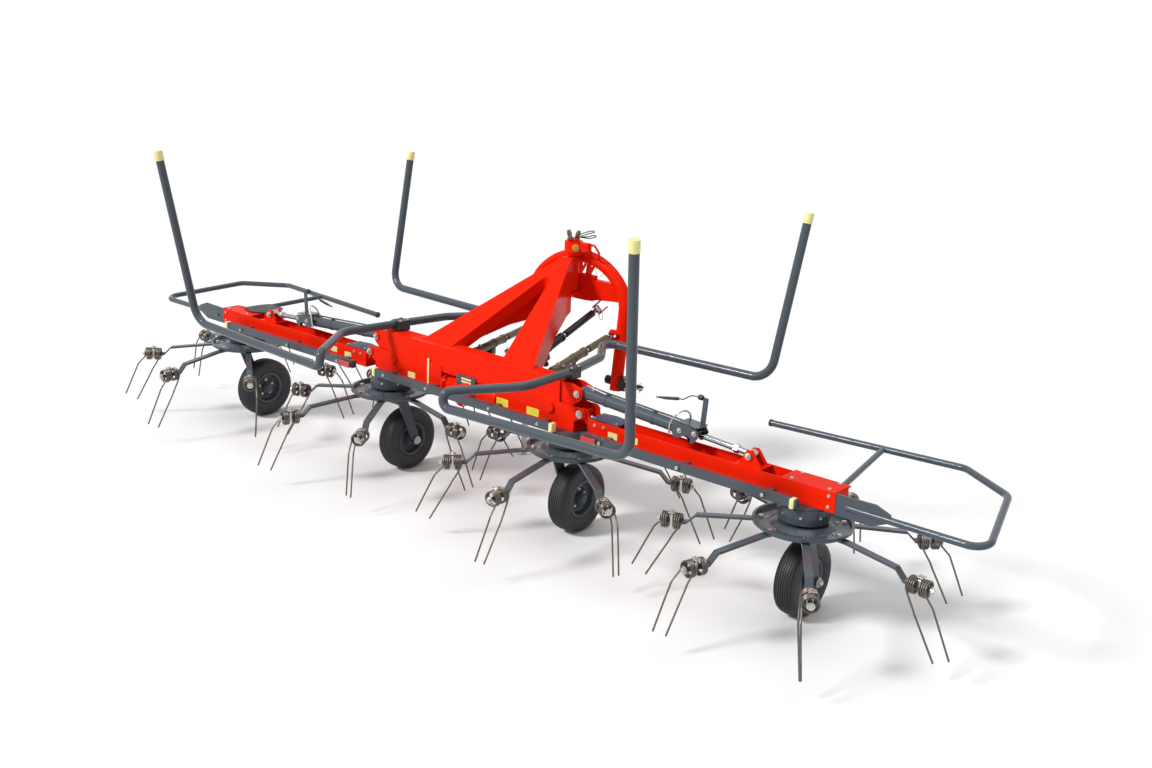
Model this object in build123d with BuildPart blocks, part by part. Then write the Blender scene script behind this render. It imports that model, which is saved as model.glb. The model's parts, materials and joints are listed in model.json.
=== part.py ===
"""Mounted four-rotor hay tedder, standing in its working position.

Millimetres. +X runs to the machine's right, +Y forward to the tractor, +Z up.
The ground is Z = 0. The forms below are drawn with the four rotor axes on the line Y = 0, and are saved
with the origin under the middle of the machine's depth, ORIGIN_Y ahead of that line.
"""

import os
from math import atan2, cos, hypot, radians, sin, sqrt, tan

from build123d import *

os.makedirs("parts", exist_ok=True)

# Driving dimensions ----------------------------------------------------------
PITCH = 1320.0                      # between neighbouring rotor axes
ORIGIN_Y = 34.0                     # middle of the depth, forward of the rotor axes
ROTORS = (                          # name, x in pitches, turning hand, phase in degrees
    ("1", -1.5, -1, 16.5),
    ("2", -0.5, +1, 45.5),
    ("3", +0.5, -1, 18.0),
    ("4", +1.5, +1, 47.0),
)
ARMS = 7                            # tine arms on a rotor
TIP_R = 757.0                       # radius of the outer tine's tip
SIDES = (("left", -1), ("right", 1))

TYRE_R, TYRE_HALF, RIM_R = 178.0, 54.0, 90.0
WHEEL_Y, WHEEL_IN = 98.0, 28.0      # forward and inboard of the rotor axis
AXLE_R = 16.0
LEG_TOP = 2 * TYRE_R + 70           # underside of the turning rotor hub

BEAM_BASE = LEG_TOP + 156           # underside of carriers and wing beams
BEAM_TOP = BEAM_BASE + 90           # top of the wing beams
BEAM_HALF = 55.0                    # half their depth, fore and aft
WALL = 5.0
MAIN_BASE = BEAM_BASE + 103         # main cross-beam
MAIN_TOP = MAIN_BASE + 135
MAIN_END = 620.0

HINGE_X, HINGE_Z = 760.0, MAIN_BASE             # wing fold pin
BASE_X, BASE_Z = HINGE_X - 35, MAIN_TOP - 45    # fold cylinder's base pin
EYE_X, EYE_Z = 1701.0, BEAM_TOP + 42            # fold cylinder's rod pin
WING_START, WING_END = HINGE_X + 45, 2150.0

LINK_Z = 590.0                      # lower link pins
TOP_LINK_Z = LINK_Z + 590           # top link pin
SWIVEL_Y = 742.0                    # headstock's upright pin
BOW_Y, BOW_LEAN = 766.0, 0.098      # headstock bow at the link pins, its forward lean
BOW_HALF, BOW_R = 332.0, 35.0
BOW_FOOT = LINK_Z - 48
BOW_ARCH_Z = LINK_Z + 384           # top of its straight legs

GUARD_R, HOOP_R = 22.0, 16.0


def save(builder, name):
    """Move a finished sub-part to the shared origin, label it and write its STEP file."""
    part = builder.part.moved(Location((0, -ORIGIN_Y, 0)))
    part.label = name
    export_step(part, f"parts/{name}.step")


def side_plane(x):
    """Sketch plane across the machine: local x is forward, local y is up."""
    return Plane(origin=(x, 0, 0), x_dir=(0, 1, 0), z_dir=(1, 0, 0))


def front_plane(y):
    """Sketch plane seen from behind: local x is the machine's x, local y is up."""
    return Plane(origin=(0, y, 0), x_dir=(1, 0, 0), z_dir=(0, -1, 0))


def tube(corners, radius, mode=Mode.ADD):
    """Round tube along straight runs; a corner is x, y, z and its bend radius."""
    points = [Vector(*corner[:3]) for corner in corners]
    with BuildLine() as path:
        here = points[0]
        for before, at, after, corner in zip(points, points[1:], points[2:], corners[1:]):
            back = (before - at).normalized()
            ahead = (after - at).normalized()
            half = radians(back.get_angle(ahead)) / 2
            reach = corner[3] / tan(half)
            middle = (back + ahead).normalized() * (corner[3] / sin(half) - corner[3])
            Line(here, at + back * reach)
            ThreePointArc(at + back * reach, at + middle, at + ahead * reach)
            here = at + ahead * reach
        Line(here, points[-1])
    with BuildSketch(Plane(origin=path.wire() @ 0, z_dir=path.wire() % 0)) as section:
        Circle(radius)
    sweep(section.sketch, path=path.wire(), mode=mode)


def rod(start, end, radius, mode=Mode.ADD):
    """Straight round bar between two points."""
    a, b = Vector(*start), Vector(*end)
    with BuildSketch(Plane(origin=a, z_dir=b - a)) as section:
        Circle(radius)
    extrude(section.sketch, amount=(b - a).length, mode=mode)


def bar_y(x, z, radius, y_from, y_to):
    """Round bar along the fore and aft direction."""
    rod((x, y_from, z), (x, y_to, z), radius)


def mirrored(corners, side):
    """The corners of a tube, on the left when side is -1."""
    return [(side * x, *rest) for x, *rest in corners]


def wedge(side, plan):
    """Solid with one outline seen from the side and another seen from above."""
    with BuildPart() as block:
        with BuildSketch(side_plane(-10)) as outline:
            with BuildLine():
                Polyline(*side, side[0])
            make_face()
        extrude(outline.sketch, amount=500)
        with BuildSketch(Plane.XY.offset(500)) as above:
            with BuildLine():
                Polyline(*plan, plan[0])
            make_face()
        extrude(above.sketch, amount=1000, mode=Mode.INTERSECT)
    return block.part


def lugs(pin, axis, toward, reach, gap):
    """Pair of lugs and their pin, reaching back to what carries them."""
    radius, half, pin_r = DAMPER_EYE
    back = (toward - axis * toward.dot(axis)).normalized()
    for side in (-1, 1):
        face = Plane(origin=pin + axis * (side * (half + gap)), x_dir=back, z_dir=axis * side)
        with BuildSketch(face) as plate:
            Circle(radius)
            with Locations((reach / 2, 0)):
                Rectangle(reach, 2 * radius)
        extrude(plate.sketch, amount=8)
    end = axis * (half + gap + 8)
    rod(tuple(pin - end), tuple(pin + end), pin_r)


# Centre frame ----------------------------------------------------------------
CARRIER = (200.0, BEAM_BASE + 133)  # inner end of the carriers below the beam, their top
STRUT_FOOT = (186.0, 404.0)         # inner and outer edge of a strut on the beam
STRUT_NOSE = SWIVEL_Y - 26          # where both meet the swivel sleeve
STRUT_PLATE, STRUT_LIP = 12.0, 75.0  # top plate and inner lip of the channel
SLEEVE_R = 34.0
SLEEVE_Z = (TOP_LINK_Z - 125, TOP_LINK_Z + 62)
CLEVIS_Y = (34.0, 44.0)


def strut_top(y, below=0.0):
    """Height of the struts' sloping top, or of a level below it."""
    return MAIN_TOP + 5.1 + 0.602 * y - below


def strut_inner(y):
    return STRUT_FOOT[0] - 0.293 * (y + 20)


def strut_outer(y):
    return STRUT_FOOT[1] - 0.525 * (y + 20)


STRUT_SIDE = (                      # y, z seen from the side, foot to nose
    (-14, MAIN_TOP - WALL), (STRUT_NOSE - 28, SLEEVE_Z[1] - 2.6), (STRUT_NOSE, SLEEVE_Z[1] - 2),
    (STRUT_NOSE, SLEEVE_Z[0]),
    (STRUT_NOSE - 18, SLEEVE_Z[0]), (STRUT_NOSE - 18, MAIN_TOP + 120),
    (STRUT_NOSE - 296, MAIN_TOP + 52), (BEAM_HALF + WALL + 1, CARRIER[1] + 1),
    (BEAM_HALF - 2, CARRIER[1] + 1),
    (BEAM_HALF - 2, MAIN_TOP - WALL),
)
STRUT_PLAN = (                      # x, y seen from above, right strut
    (strut_inner(-20), -20), (strut_outer(-20), -20), (strut_outer(640), 640),
    (30, STRUT_NOSE), (0, STRUT_NOSE), (0, 541), (13, 537), (27, 524), (36, 495),
)
POCKET = (BEAM_HALF, STRUT_NOSE - 116)
POCKET_SIDE = (                     # y, z of the channel's hollow
    (POCKET[0], 0), (POCKET[1], 0), (POCKET[1], strut_top(POCKET[1], STRUT_PLATE)),
    (POCKET[0], strut_top(POCKET[0], STRUT_PLATE)),
)
POCKET_PLAN = (
    (strut_inner(POCKET[0]) + 8, POCKET[0]), (strut_outer(POCKET[0]) - 8, POCKET[0]),
    (strut_outer(POCKET[1]) - 8, POCKET[1]), (strut_inner(POCKET[1]) + 8, POCKET[1]),
)
LIP_SIDE = (                        # y, z cut away below the inner lip
    (POCKET[0], 0), (POCKET[1], 0), (POCKET[1], strut_top(POCKET[1], STRUT_LIP)),
    (POCKET[0], strut_top(POCKET[0], STRUT_LIP)),
)
LIP_PLAN = (
    (-1, POCKET[0]), (strut_outer(POCKET[0]) - 8, POCKET[0]),
    (strut_outer(POCKET[1]) - 8, POCKET[1]), (-1, POCKET[1]),
)

DAMPER_EYE = (18.0, 18.0, 9.0)      # radius, half length, pin radius
DAMPER_GAP = (0.3, 3.4)             # beside the eye, at the frame and at the headstock
DAMPERS = (                         # name, frame pin, headstock pin, way to each one's carrier
    ("left", (-140, 84, MAIN_TOP - 55), (1 - BOW_HALF + 19, 727, LINK_Z + 190),
     (0, -1, 0), (-20, 57, 0)),
    ("right", (410, 84, MAIN_TOP - 45), (BOW_HALF - 32, 730, LINK_Z + 262),
     (0, -1, 0), (32, 61, 0)),
    ("centre", (165, 84, MAIN_TOP - 108), (145, 800, LINK_Z + 370),
     (0, -1, 0), (0, 0, 1)),
)


def damper_frame(low, high):
    """Pins, direction, length and hinge axis of a damper that follows the swivel."""
    a, b = Vector(*low), Vector(*high)
    along = (b - a).normalized()
    travel = Vector(SWIVEL_Y - b.Y, b.X, 0)
    return a, b, along, (b - a).length, along.cross(travel).normalized()


strut = wedge(STRUT_SIDE, STRUT_PLAN) - wedge(POCKET_SIDE, POCKET_PLAN)
strut = strut - wedge(LIP_SIDE, LIP_PLAN)

with BuildPart() as main_frame:
    with BuildSketch(side_plane(-MAIN_END)):
        with Locations((0, (MAIN_BASE + MAIN_TOP) / 2)):
            Rectangle(2 * BEAM_HALF, MAIN_TOP - MAIN_BASE)
            Rectangle(2 * (BEAM_HALF - WALL), MAIN_TOP - MAIN_BASE - 2 * WALL, mode=Mode.SUBTRACT)
    extrude(amount=2 * MAIN_END)
    # struts rising to the swivel sleeve
    add(strut)
    add(mirror(strut, about=Plane.YZ))
    with BuildSketch(Plane.XY.offset(SLEEVE_Z[0])):
        with Locations((0, SWIVEL_Y)):
            Circle(SLEEVE_R)
    extrude(amount=SLEEVE_Z[1] - SLEEVE_Z[0])
    with BuildSketch(Plane.XY.offset(SLEEVE_Z[0] - 1)):
        with Locations((0, SWIVEL_Y)):
            Circle(20)
    extrude(amount=SLEEVE_Z[1] - SLEEVE_Z[0] + 2, mode=Mode.SUBTRACT)
    # lugs and pins for the dampers on the beam's front face
    for _, low, high, toward, _ in DAMPERS:
        a, _, _, _, axis = damper_frame(low, high)
        lugs(a, axis, Vector(*toward), a.Y - BEAM_HALF + 4, DAMPER_GAP[0])
    # clevis plates for the fold cylinders on the beam's ends
    for _, s in SIDES:
        for t in (-1, 1):
            with BuildSketch(front_plane(t * CLEVIS_Y[0] if t < 0 else t * CLEVIS_Y[1])):
                with BuildLine():
                    Polyline(
                        (s * (MAIN_END - 60), MAIN_BASE + 7), (s * (MAIN_END - 60), MAIN_TOP - 4),
                        (s * (BASE_X - 35), MAIN_TOP - 2), (s * (BASE_X + 20), MAIN_TOP - 18),
                        (s * (BASE_X + 29), MAIN_TOP - 40), (s * (BASE_X + 20), BASE_Z - 27),
                        (s * (BASE_X - 45), MAIN_BASE + 7), (s * (MAIN_END - 60), MAIN_BASE + 7),
                    )
                make_face()
            extrude(amount=CLEVIS_Y[1] - CLEVIS_Y[0])
        bar_y(s * BASE_X, BASE_Z, 12.5, -CLEVIS_Y[1] - 8, CLEVIS_Y[1] + 8)
save(main_frame, "main_frame")

with BuildPart() as inner_carriers:
    for _, s in SIDES:
        x0, top = CARRIER
        outer = BEAM_HALF + WALL
        with BuildSketch(side_plane(s * x0)):
            with Locations((0, (BEAM_BASE + top) / 2)):
                Rectangle(2 * outer, top - BEAM_BASE)
            with Locations((0, (BEAM_BASE + top) / 2 + WALL)):
                Rectangle(2 * BEAM_HALF, top - BEAM_BASE, mode=Mode.SUBTRACT)
        extrude(amount=s * (HINGE_X - 40 - x0))
        # lugs for the fold pin
        for t in (-1, 1):
            with BuildSketch(front_plane(-48 if t < 0 else 60)):
                with BuildLine():
                    Polyline(
                        (s * (HINGE_X - 70), BEAM_BASE + 38), (s * (HINGE_X - 70), HINGE_Z + 28),
                        (s * HINGE_X, HINGE_Z + 28), (s * HINGE_X, HINGE_Z - 28),
                        (s * (HINGE_X - 70), BEAM_BASE + 38),
                    )
                make_face()
                with Locations((s * HINGE_X, HINGE_Z)):
                    Circle(28)
            extrude(amount=12)
        bar_y(s * HINGE_X, HINGE_Z, 14, -68, 68)
        bar_y(s * (HINGE_X - 189), BEAM_BASE + 95, 24, -outer - 14, 1 - outer)
        bar_y(s * (HINGE_X - 189), BEAM_BASE + 95, 24, outer - 1, outer + 14)
save(inner_carriers, "inner_carriers")

SHAFT_Z = BEAM_BASE + 30
with BuildPart() as central_gearbox:
    with BuildSketch(Plane.XY):
        with BuildLine():
            Polyline((-200, 0), (-200, 70), (-184, 70), (-176, 52), (-110, 58), (-80, 69),
                     (80, 69), (110, 58), (176, 52), (184, 70), (200, 70), (200, 0), (-200, 0))
        make_face()
    revolve(axis=Axis.X)
    with Locations((0, 0, 64)):
        Box(150, 96, 18)
    for y, r, reach in ((50, 56, 110), (150, 44, 40)):
        with BuildSketch(Plane.XZ.offset(-y)):
            Circle(r)
        extrude(amount=-reach)
    with BuildSketch(Plane.XZ.offset(50)):
        Circle(58)
    extrude(amount=62)
central_gearbox.part.locate(Location((0, 0, SHAFT_Z)))
save(central_gearbox, "central_gearbox")

PTO_R, PTO_Y = 17.5, (190.0, 290.0)
with BuildPart() as pto_shaft:
    rod((0, PTO_Y[0], SHAFT_Z), (0, PTO_Y[1], SHAFT_Z), PTO_R)
save(pto_shaft, "pto_shaft")

with BuildPart() as pto_guard:
    with BuildSketch(Plane.XZ.offset(-160)):
        with Locations((0, SHAFT_Z)):
            Circle(60)
            Circle(44, mode=Mode.SUBTRACT)
    extrude(amount=-8)
    with BuildSketch(Plane.XZ.offset(-168)):
        with Locations((0, SHAFT_Z)):
            Circle(60)
            Circle(56, mode=Mode.SUBTRACT)
    extrude(amount=-100)
save(pto_guard, "pto_guard")

# Guard tubes: one bent tube a side, over the main beam and up into two posts
GUARD_PATH = (                      # x, y, z and bend of the corners, front post to rear post
    (1400, 820, MAIN_TOP + 821), (1366, 650, MAIN_TOP + 32, 105),
    (385, 560, MAIN_TOP + 44, 60), (562, 326, MAIN_TOP + 38, 60), (622, 56, MAIN_TOP + 34, 200),
    (662, -345, MAIN_TOP + 38, 160), (440, -668, MAIN_TOP + 28, 36),
    (444, -668, MAIN_TOP - 48, 36), (1518, -655, MAIN_TOP - 18, 105),
    (1592, -800, MAIN_TOP + 897),
)
with BuildPart() as guard_tubes:
    for _, s in SIDES:
        tube(mirrored(GUARD_PATH, s), GUARD_R)
save(guard_tubes, "guard_tubes")

with BuildPart() as guard_clamps:
    for _, s in SIDES:
        with Locations((s * 615, 30, MAIN_TOP + 28)):
            Box(70, 76, 56)
    for _, s in SIDES:
        tube(mirrored(GUARD_PATH[3:6], s), GUARD_R + 0.3, Mode.SUBTRACT)
save(guard_clamps, "guard_clamps")

# Rails along the lower rear edge
RAIL = (-128.0, BEAM_BASE + 22, 40.0, 30.0)  # y, z, height, depth
with BuildPart() as centre_rail:
    with BuildSketch(side_plane(-640)):
        with Locations((RAIL[0], RAIL[1])):
            Rectangle(RAIL[3], RAIL[2])
    extrude(amount=1280)
    for x in (-560, -230, 230, 560):
        with Locations((x, (RAIL[0] - 60) / 2, RAIL[1])):
            Box(30, -RAIL[0] - 60, 20)
save(centre_rail, "centre_rail")

# Headstock -------------------------------------------------------------------
BOW_RISE = 0.79 * BOW_HALF          # of the arch, in the bow's leaning plane
BOW_CORNER = 0.63 * BOW_HALF        # radius of its shoulders
BOW_CROWN = (BOW_HALF ** 2 + BOW_RISE ** 2 - 2 * BOW_HALF * BOW_CORNER) / (
    2 * (BOW_RISE - BOW_CORNER)
)


def bow_y(z):
    """Y of the leaning bow's middle at a height."""
    return BOW_Y + BOW_LEAN * (z - LINK_Z)


def on_arch(x, rise):
    """Point of the bow's plane, by its rise along that plane from the arch's foot."""
    z = BOW_ARCH_Z + rise / sqrt(1 + BOW_LEAN ** 2)
    return (x, bow_y(z), z)


def shoulder(side, turn):
    """Point of a shoulder arc, by its angle up from the leg."""
    x = BOW_HALF - BOW_CORNER + BOW_CORNER * cos(turn)
    return on_arch(side * x, BOW_CORNER * sin(turn))


CROWN_Z = on_arch(0, BOW_RISE)[2]
CROSS_Z = (BOW_ARCH_Z + 53, BOW_ARCH_Z + 145)
CROSS_Y = bow_y(BOW_ARCH_Z + 106)
with BuildPart() as headstock_bow:
    turn = atan2(BOW_CROWN - BOW_RISE, BOW_HALF - BOW_CORNER)
    with BuildLine() as path:
        Line((-BOW_HALF, bow_y(BOW_FOOT), BOW_FOOT), shoulder(-1, 0))
        ThreePointArc(shoulder(-1, 0), shoulder(-1, turn / 2), shoulder(-1, turn))
        ThreePointArc(shoulder(-1, turn), on_arch(0, BOW_RISE), shoulder(1, turn))
        ThreePointArc(shoulder(1, turn), shoulder(1, turn / 2), shoulder(1, 0))
        Line(shoulder(1, 0), (BOW_HALF, bow_y(BOW_FOOT), BOW_FOOT))
    with BuildSketch(Plane(origin=path.wire() @ 0, z_dir=path.wire() % 0)):
        Circle(BOW_R)
    sweep(path=path.wire())
    # cross plate between the legs, and the deeper box at its middle
    with BuildSketch(front_plane(CROSS_Y + 19)):
        with BuildLine():
            Polyline((15 - BOW_HALF, CROSS_Z[0]), (45 - BOW_HALF, CROSS_Z[1]),
                     (BOW_HALF - 45, CROSS_Z[1]), (BOW_HALF - 15, CROSS_Z[0]),
                     (100, CROSS_Z[0] - 20), (-100, CROSS_Z[0] - 20), (15 - BOW_HALF, CROSS_Z[0]))
        make_face()
    extrude(amount=38)
    with BuildSketch(Plane.XY.offset(CROSS_Z[0] - 29)):
        with BuildLine():
            Polyline((-105, CROSS_Y + 22), (105, CROSS_Y + 22), (105, CROSS_Y - 14),
                     (60, SWIVEL_Y + 44), (-60, SWIVEL_Y + 44), (-105, CROSS_Y - 14),
                     (-105, CROSS_Y + 22))
        make_face()
    extrude(amount=CROSS_Z[1] - CROSS_Z[0] + 48)
    # lugs above and below the frame's sleeve, and the swivel pin
    for z, reach in ((SLEEVE_Z[0] - 24, SWIVEL_Y + 60), (SLEEVE_Z[1] + 6, bow_y(CROWN_Z))):
        with BuildSketch(Plane.XY.offset(z)):
            with Locations((0, SWIVEL_Y)):
                Circle(36)
            with Locations((0, (SWIVEL_Y + reach) / 2)):
                Rectangle(72, reach - SWIVEL_Y)
        extrude(amount=18)
    rod((0, SWIVEL_Y, SLEEVE_Z[0] - 24), (0, SWIVEL_Y, SLEEVE_Z[1] + 24), 19.7)
    # lugs and pins for the dampers
    for _, low, high, _, toward in DAMPERS:
        _, b, _, _, axis = damper_frame(low, high)
        lugs(b, axis, Vector(*toward), 50, DAMPER_GAP[1])
    # top link clevis
    link_y = round(bow_y(CROWN_Z) + 45)
    for s in (-1, 1):
        with BuildSketch(side_plane(s * 26 if s > 0 else s * 38)):
            with BuildLine():
                Polyline((link_y - 50, CROSS_Z[1] + 10), (link_y - 34, CROWN_Z + 16),
                         (link_y - 8, CROWN_Z + 20), (link_y + 20, TOP_LINK_Z + 14),
                         (link_y + 20, TOP_LINK_Z - 12), (link_y - 14, CROSS_Z[1] + 10),
                         (link_y - 50, CROSS_Z[1] + 10))
            make_face()
            with Locations((link_y, TOP_LINK_Z)):
                Circle(12.8, mode=Mode.SUBTRACT)
        extrude(amount=12)
save(headstock_bow, "headstock_bow")

with BuildPart() as lower_link_pins:
    for _, s in SIDES:
        near, far = BOW_HALF + BOW_R + 0.5, BOW_HALF - BOW_R - 0.5
        with Locations((s * (near + 20.5), BOW_Y, LINK_Z)):
            Box(41, 60, 70)
        rod((s * (near + 30), BOW_Y, LINK_Z), (s * (near + 138), BOW_Y, LINK_Z), 14)
        rod((s * far, BOW_Y, LINK_Z), (s * (far - 32), BOW_Y, LINK_Z), 25)
save(lower_link_pins, "lower_link_pins")

with BuildPart() as hose_holder:
    lift = SLEEVE_Z[1] + 24.3
    rod((0, SWIVEL_Y, lift), (0, SWIVEL_Y, lift + 62), 50)
    rod((0, SWIVEL_Y, lift + 60), (0, SWIVEL_Y, lift + 76), 34)
    with Locations((62, SWIVEL_Y + 6, lift + 40)):
        Box(96, 34, 40)
    tube(((100, SWIVEL_Y + 6, lift + 54), (140, SWIVEL_Y + 10, lift + 54, 14),
          (168, SWIVEL_Y + 20, lift + 14, 14), (150, SWIVEL_Y + 30, lift - 26, 14),
          (96, SWIVEL_Y + 16, lift + 28)), 6)
save(hose_holder, "hose_holder")

with BuildPart() as parking_stand:
    foot_y = bow_y(BOW_FOOT)
    rod((-BOW_HALF, foot_y, 8), (-BOW_HALF, foot_y, BOW_FOOT - 2), 19)
    with BuildSketch(Plane.XY):
        with Locations((-BOW_HALF, foot_y)):
            Circle(45)
    extrude(amount=8)
save(parking_stand, "parking_stand")

for name, low, high, _, _ in DAMPERS:
    a, b, u, span, axis = damper_frame(low, high)
    eye_r, half, pin_r = DAMPER_EYE
    gland = 0.58 * span
    with BuildPart() as damper_barrel:
        rod(tuple(a + u * 12), tuple(a + u * 60), 13)
        rod(tuple(a + u * 52), tuple(a + u * gland), 23)
        rod(tuple(a - axis * half), tuple(a + axis * half), eye_r)
        rod(tuple(a - axis * 40), tuple(a + axis * 40), pin_r + 0.3, Mode.SUBTRACT)
        rod(tuple(a + u * (gland - 110)), tuple(a + u * (gland + 1)), 11.3, Mode.SUBTRACT)
    save(damper_barrel, f"damper_barrel_{name}")
    with BuildPart() as damper_rod:
        rod(tuple(a + u * (gland - 60)), tuple(b - u * 8), 11)
        rod(tuple(b - axis * half), tuple(b + axis * half), eye_r)
        rod(tuple(b - axis * 40), tuple(b + axis * 40), pin_r + 3.2, Mode.SUBTRACT)
    save(damper_rod, f"damper_rod_{name}")

# Wings -----------------------------------------------------------------------
HOOP_PATH = (                       # x, y, z and bend of the end hoop's corners
    (WING_END + 50, -42, BEAM_BASE + 38), (WING_END + 662, -42, BEAM_BASE + 38, 70),
    (WING_END + 528, 464, BEAM_BASE + 88, 70), (WING_END + 256, 647, BEAM_BASE + 93, 70),
    (WING_END - 708, 583, BEAM_BASE + 82),
)
EAR_Y = (20.3, 30.3)                # inner and outer faces of the ears
for name, s in SIDES:
    with BuildPart() as wing_beam:
        height = BEAM_TOP - BEAM_BASE
        with BuildSketch(side_plane(s * WING_START)):
            with Locations((0, (BEAM_BASE + BEAM_TOP) / 2)):
                Rectangle(2 * BEAM_HALF, height)
            with Locations((0, (BEAM_BASE + BEAM_TOP) / 2 + WALL)):
                Rectangle(2 * (BEAM_HALF - WALL), height, mode=Mode.SUBTRACT)
        extrude(amount=s * (WING_END - WING_START))
        for x0, x1, over in ((EYE_X - 61, EYE_X + 74, 0), (WING_END - 270, WING_END, 20)):
            with Locations((s * (x0 + x1) / 2, over / 2, BEAM_TOP - WALL / 2)):
                Box(x1 - x0, 2 * BEAM_HALF + over, WALL)
        with Locations((s * (WING_START + 4), 0, (BEAM_BASE + BEAM_TOP) / 2)):
            Box(8, 2 * BEAM_HALF, height)
        with Locations((s * (WING_END - 3), 0, (BEAM_BASE + BEAM_TOP) / 2)):
            Box(6, 2 * BEAM_HALF, height)
        # tongues on the fold pin
        for t in (-1, 1):
            with BuildSketch(front_plane(-32 if t < 0 else 43)):
                with BuildLine():
                    Polyline((s * HINGE_X, HINGE_Z - 26), (s * HINGE_X, HINGE_Z + 26),
                             (s * (HINGE_X + 30), HINGE_Z + 20), (s * (HINGE_X + 48), BEAM_TOP - 2),
                             (s * (HINGE_X + 48), BEAM_BASE + 38), (s * HINGE_X, HINGE_Z - 26))
                make_face()
                with Locations((s * HINGE_X, HINGE_Z)):
                    Circle(26)
                    Circle(14.4, mode=Mode.SUBTRACT)
            extrude(amount=11)
        # ears beside the rod's eye, and the ends of its pin
        for t in (-1, 1):
            with BuildSketch(front_plane(-EAR_Y[0] if t < 0 else EAR_Y[1])):
                with BuildLine():
                    Polyline((s * (EYE_X - 51), BEAM_TOP - 2), (s * (EYE_X - 15), EYE_Z + 22),
                             (s * (EYE_X + 11), EYE_Z + 26), (s * (EYE_X + 27), EYE_Z + 10),
                             (s * (EYE_X + 67), BEAM_TOP - 2), (s * (EYE_X - 51), BEAM_TOP - 2))
                make_face()
            extrude(amount=EAR_Y[1] - EAR_Y[0])
            bar_y(s * EYE_X, EYE_Z, 10, t * (EAR_Y[1] - 2), t * (EAR_Y[1] + 10))
    save(wing_beam, f"wing_beam_{name}")

    with BuildPart() as hinge_flap:
        with BuildSketch(front_plane(54)):
            with BuildLine():
                Polyline((s * (WING_START + 180), BEAM_TOP), (s * (WING_START + 180), BEAM_TOP + 5),
                         (s * (WING_START + 85), BEAM_TOP + 11), (s * (WING_START + 10), BEAM_TOP + 5),
                         (s * (WING_START + 10), BEAM_TOP), (s * (WING_START + 85), BEAM_TOP + 6),
                         (s * (WING_START + 180), BEAM_TOP))
            make_face()
        extrude(amount=108)
    save(hinge_flap, f"hinge_flap_{name}")

    with BuildPart() as wing_rail:
        with BuildSketch(side_plane(s * (WING_START + 25))):
            with Locations((-120, RAIL[1])):
                Rectangle(RAIL[3], RAIL[2])
        extrude(amount=s * (WING_END - 163 - WING_START))
        for x in (WING_START + 145, WING_START + 595, WING_START + 1045):
            with Locations((s * x, -80, RAIL[1])):
                Box(30, 50, 20)
    save(wing_rail, f"wing_rail_{name}")

    with BuildPart() as end_hoop:
        with BuildSketch(front_plane(-44)):
            with BuildLine():
                Polyline((s * WING_END, BEAM_BASE - 6), (s * WING_END, BEAM_BASE + 88),
                         (s * (WING_END + 180), BEAM_BASE + 92), (s * (WING_END + 250), BEAM_BASE + 66),
                         (s * (WING_END + 250), BEAM_BASE + 30), (s * (WING_END + 170), BEAM_BASE - 6),
                         (s * WING_END, BEAM_BASE - 6))
            make_face()
        extrude(amount=8)
        tube(mirrored(HOOP_PATH, s), HOOP_R)
        rod((s * (WING_END - 51), 66, BEAM_BASE + 59), (s * (WING_END - 132), 626, BEAM_BASE + 90), 14)
        with Locations((s * (WING_END - 50), 60, BEAM_BASE + 53)):
            Box(60, 10, 60)
    save(end_hoop, f"end_hoop_{name}")

    # fold cylinder: barrel on the frame's clevis, rod between the wing's ears
    base, eye = Vector(s * BASE_X, 0, BASE_Z), Vector(s * EYE_X, 0, EYE_Z)
    u = (eye - base).normalized()
    gland = 0.683 * (eye - base).length
    with BuildPart() as fold_barrel:
        rod(tuple(base + u * 22), tuple(base + u * gland), 29)
        rod(tuple(base + u * (gland - 46)), tuple(base + u * (gland - 6)), 33)
        bar_y(base.X, base.Z, 26, -29, 29)
        rod((base.X, -40, base.Z), (base.X, 40, base.Z), 12.8, Mode.SUBTRACT)
        rod(tuple(base + u * (gland - 205)), tuple(base + u * (gland + 1)), 14.3, Mode.SUBTRACT)
    save(fold_barrel, f"fold_barrel_{name}")
    with BuildPart() as fold_rod:
        rod(tuple(base + u * (gland - 60)), tuple(eye - u * 14), 14)
        bar_y(eye.X, eye.Z, 22, -20, 20)
    save(fold_rod, f"fold_rod_{name}")

# Rotor mounts: gearbox skirt, centre tube, wheel leg and axle -----------------
SKIRT_R, SKIRT_Z = 112.0, (LEG_TOP + 74, LEG_TOP + 142)
LEG_T = 10.0


def rotor_mount(x, leg_side):
    """Gearbox skirt, fixed centre tube and wheel leg below one rotor gearbox."""
    for z, radius, height in (
        (SKIRT_Z[0], SKIRT_R, SKIRT_Z[1] - SKIRT_Z[0]),
        (SKIRT_Z[1], SKIRT_R - 6, BEAM_BASE - SKIRT_Z[1]),
        (LEG_TOP - 14, 30, SKIRT_Z[0] - LEG_TOP + 15),
    ):
        rod((x, 0, z), (x, 0, z + height), radius)
    inboard = -1 if x > 0 else 1
    wheel = x + inboard * WHEEL_IN
    face = wheel + leg_side * (TYRE_HALF + 9)
    far = face + leg_side * LEG_T
    with Locations(((x - leg_side * 30 + far) / 2, 0, LEG_TOP - 7)):
        Box(abs(far - x + leg_side * 30), 70, 14)
    with BuildSketch(side_plane(min(face, far))) as leg:
        with BuildLine():
            Polyline((-35, LEG_TOP), (35, LEG_TOP), (WHEEL_Y + 28, TYRE_R), (WHEEL_Y - 28, TYRE_R),
                     (-35, LEG_TOP))
        make_face()
        with Locations((WHEEL_Y, TYRE_R)):
            Circle(28)
    extrude(leg.sketch, amount=LEG_T)
    end = wheel - leg_side * (TYRE_HALF - 9)
    rod((far + leg_side * 8, WHEEL_Y, TYRE_R), (end, WHEEL_Y, TYRE_R), AXLE_R)


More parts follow.
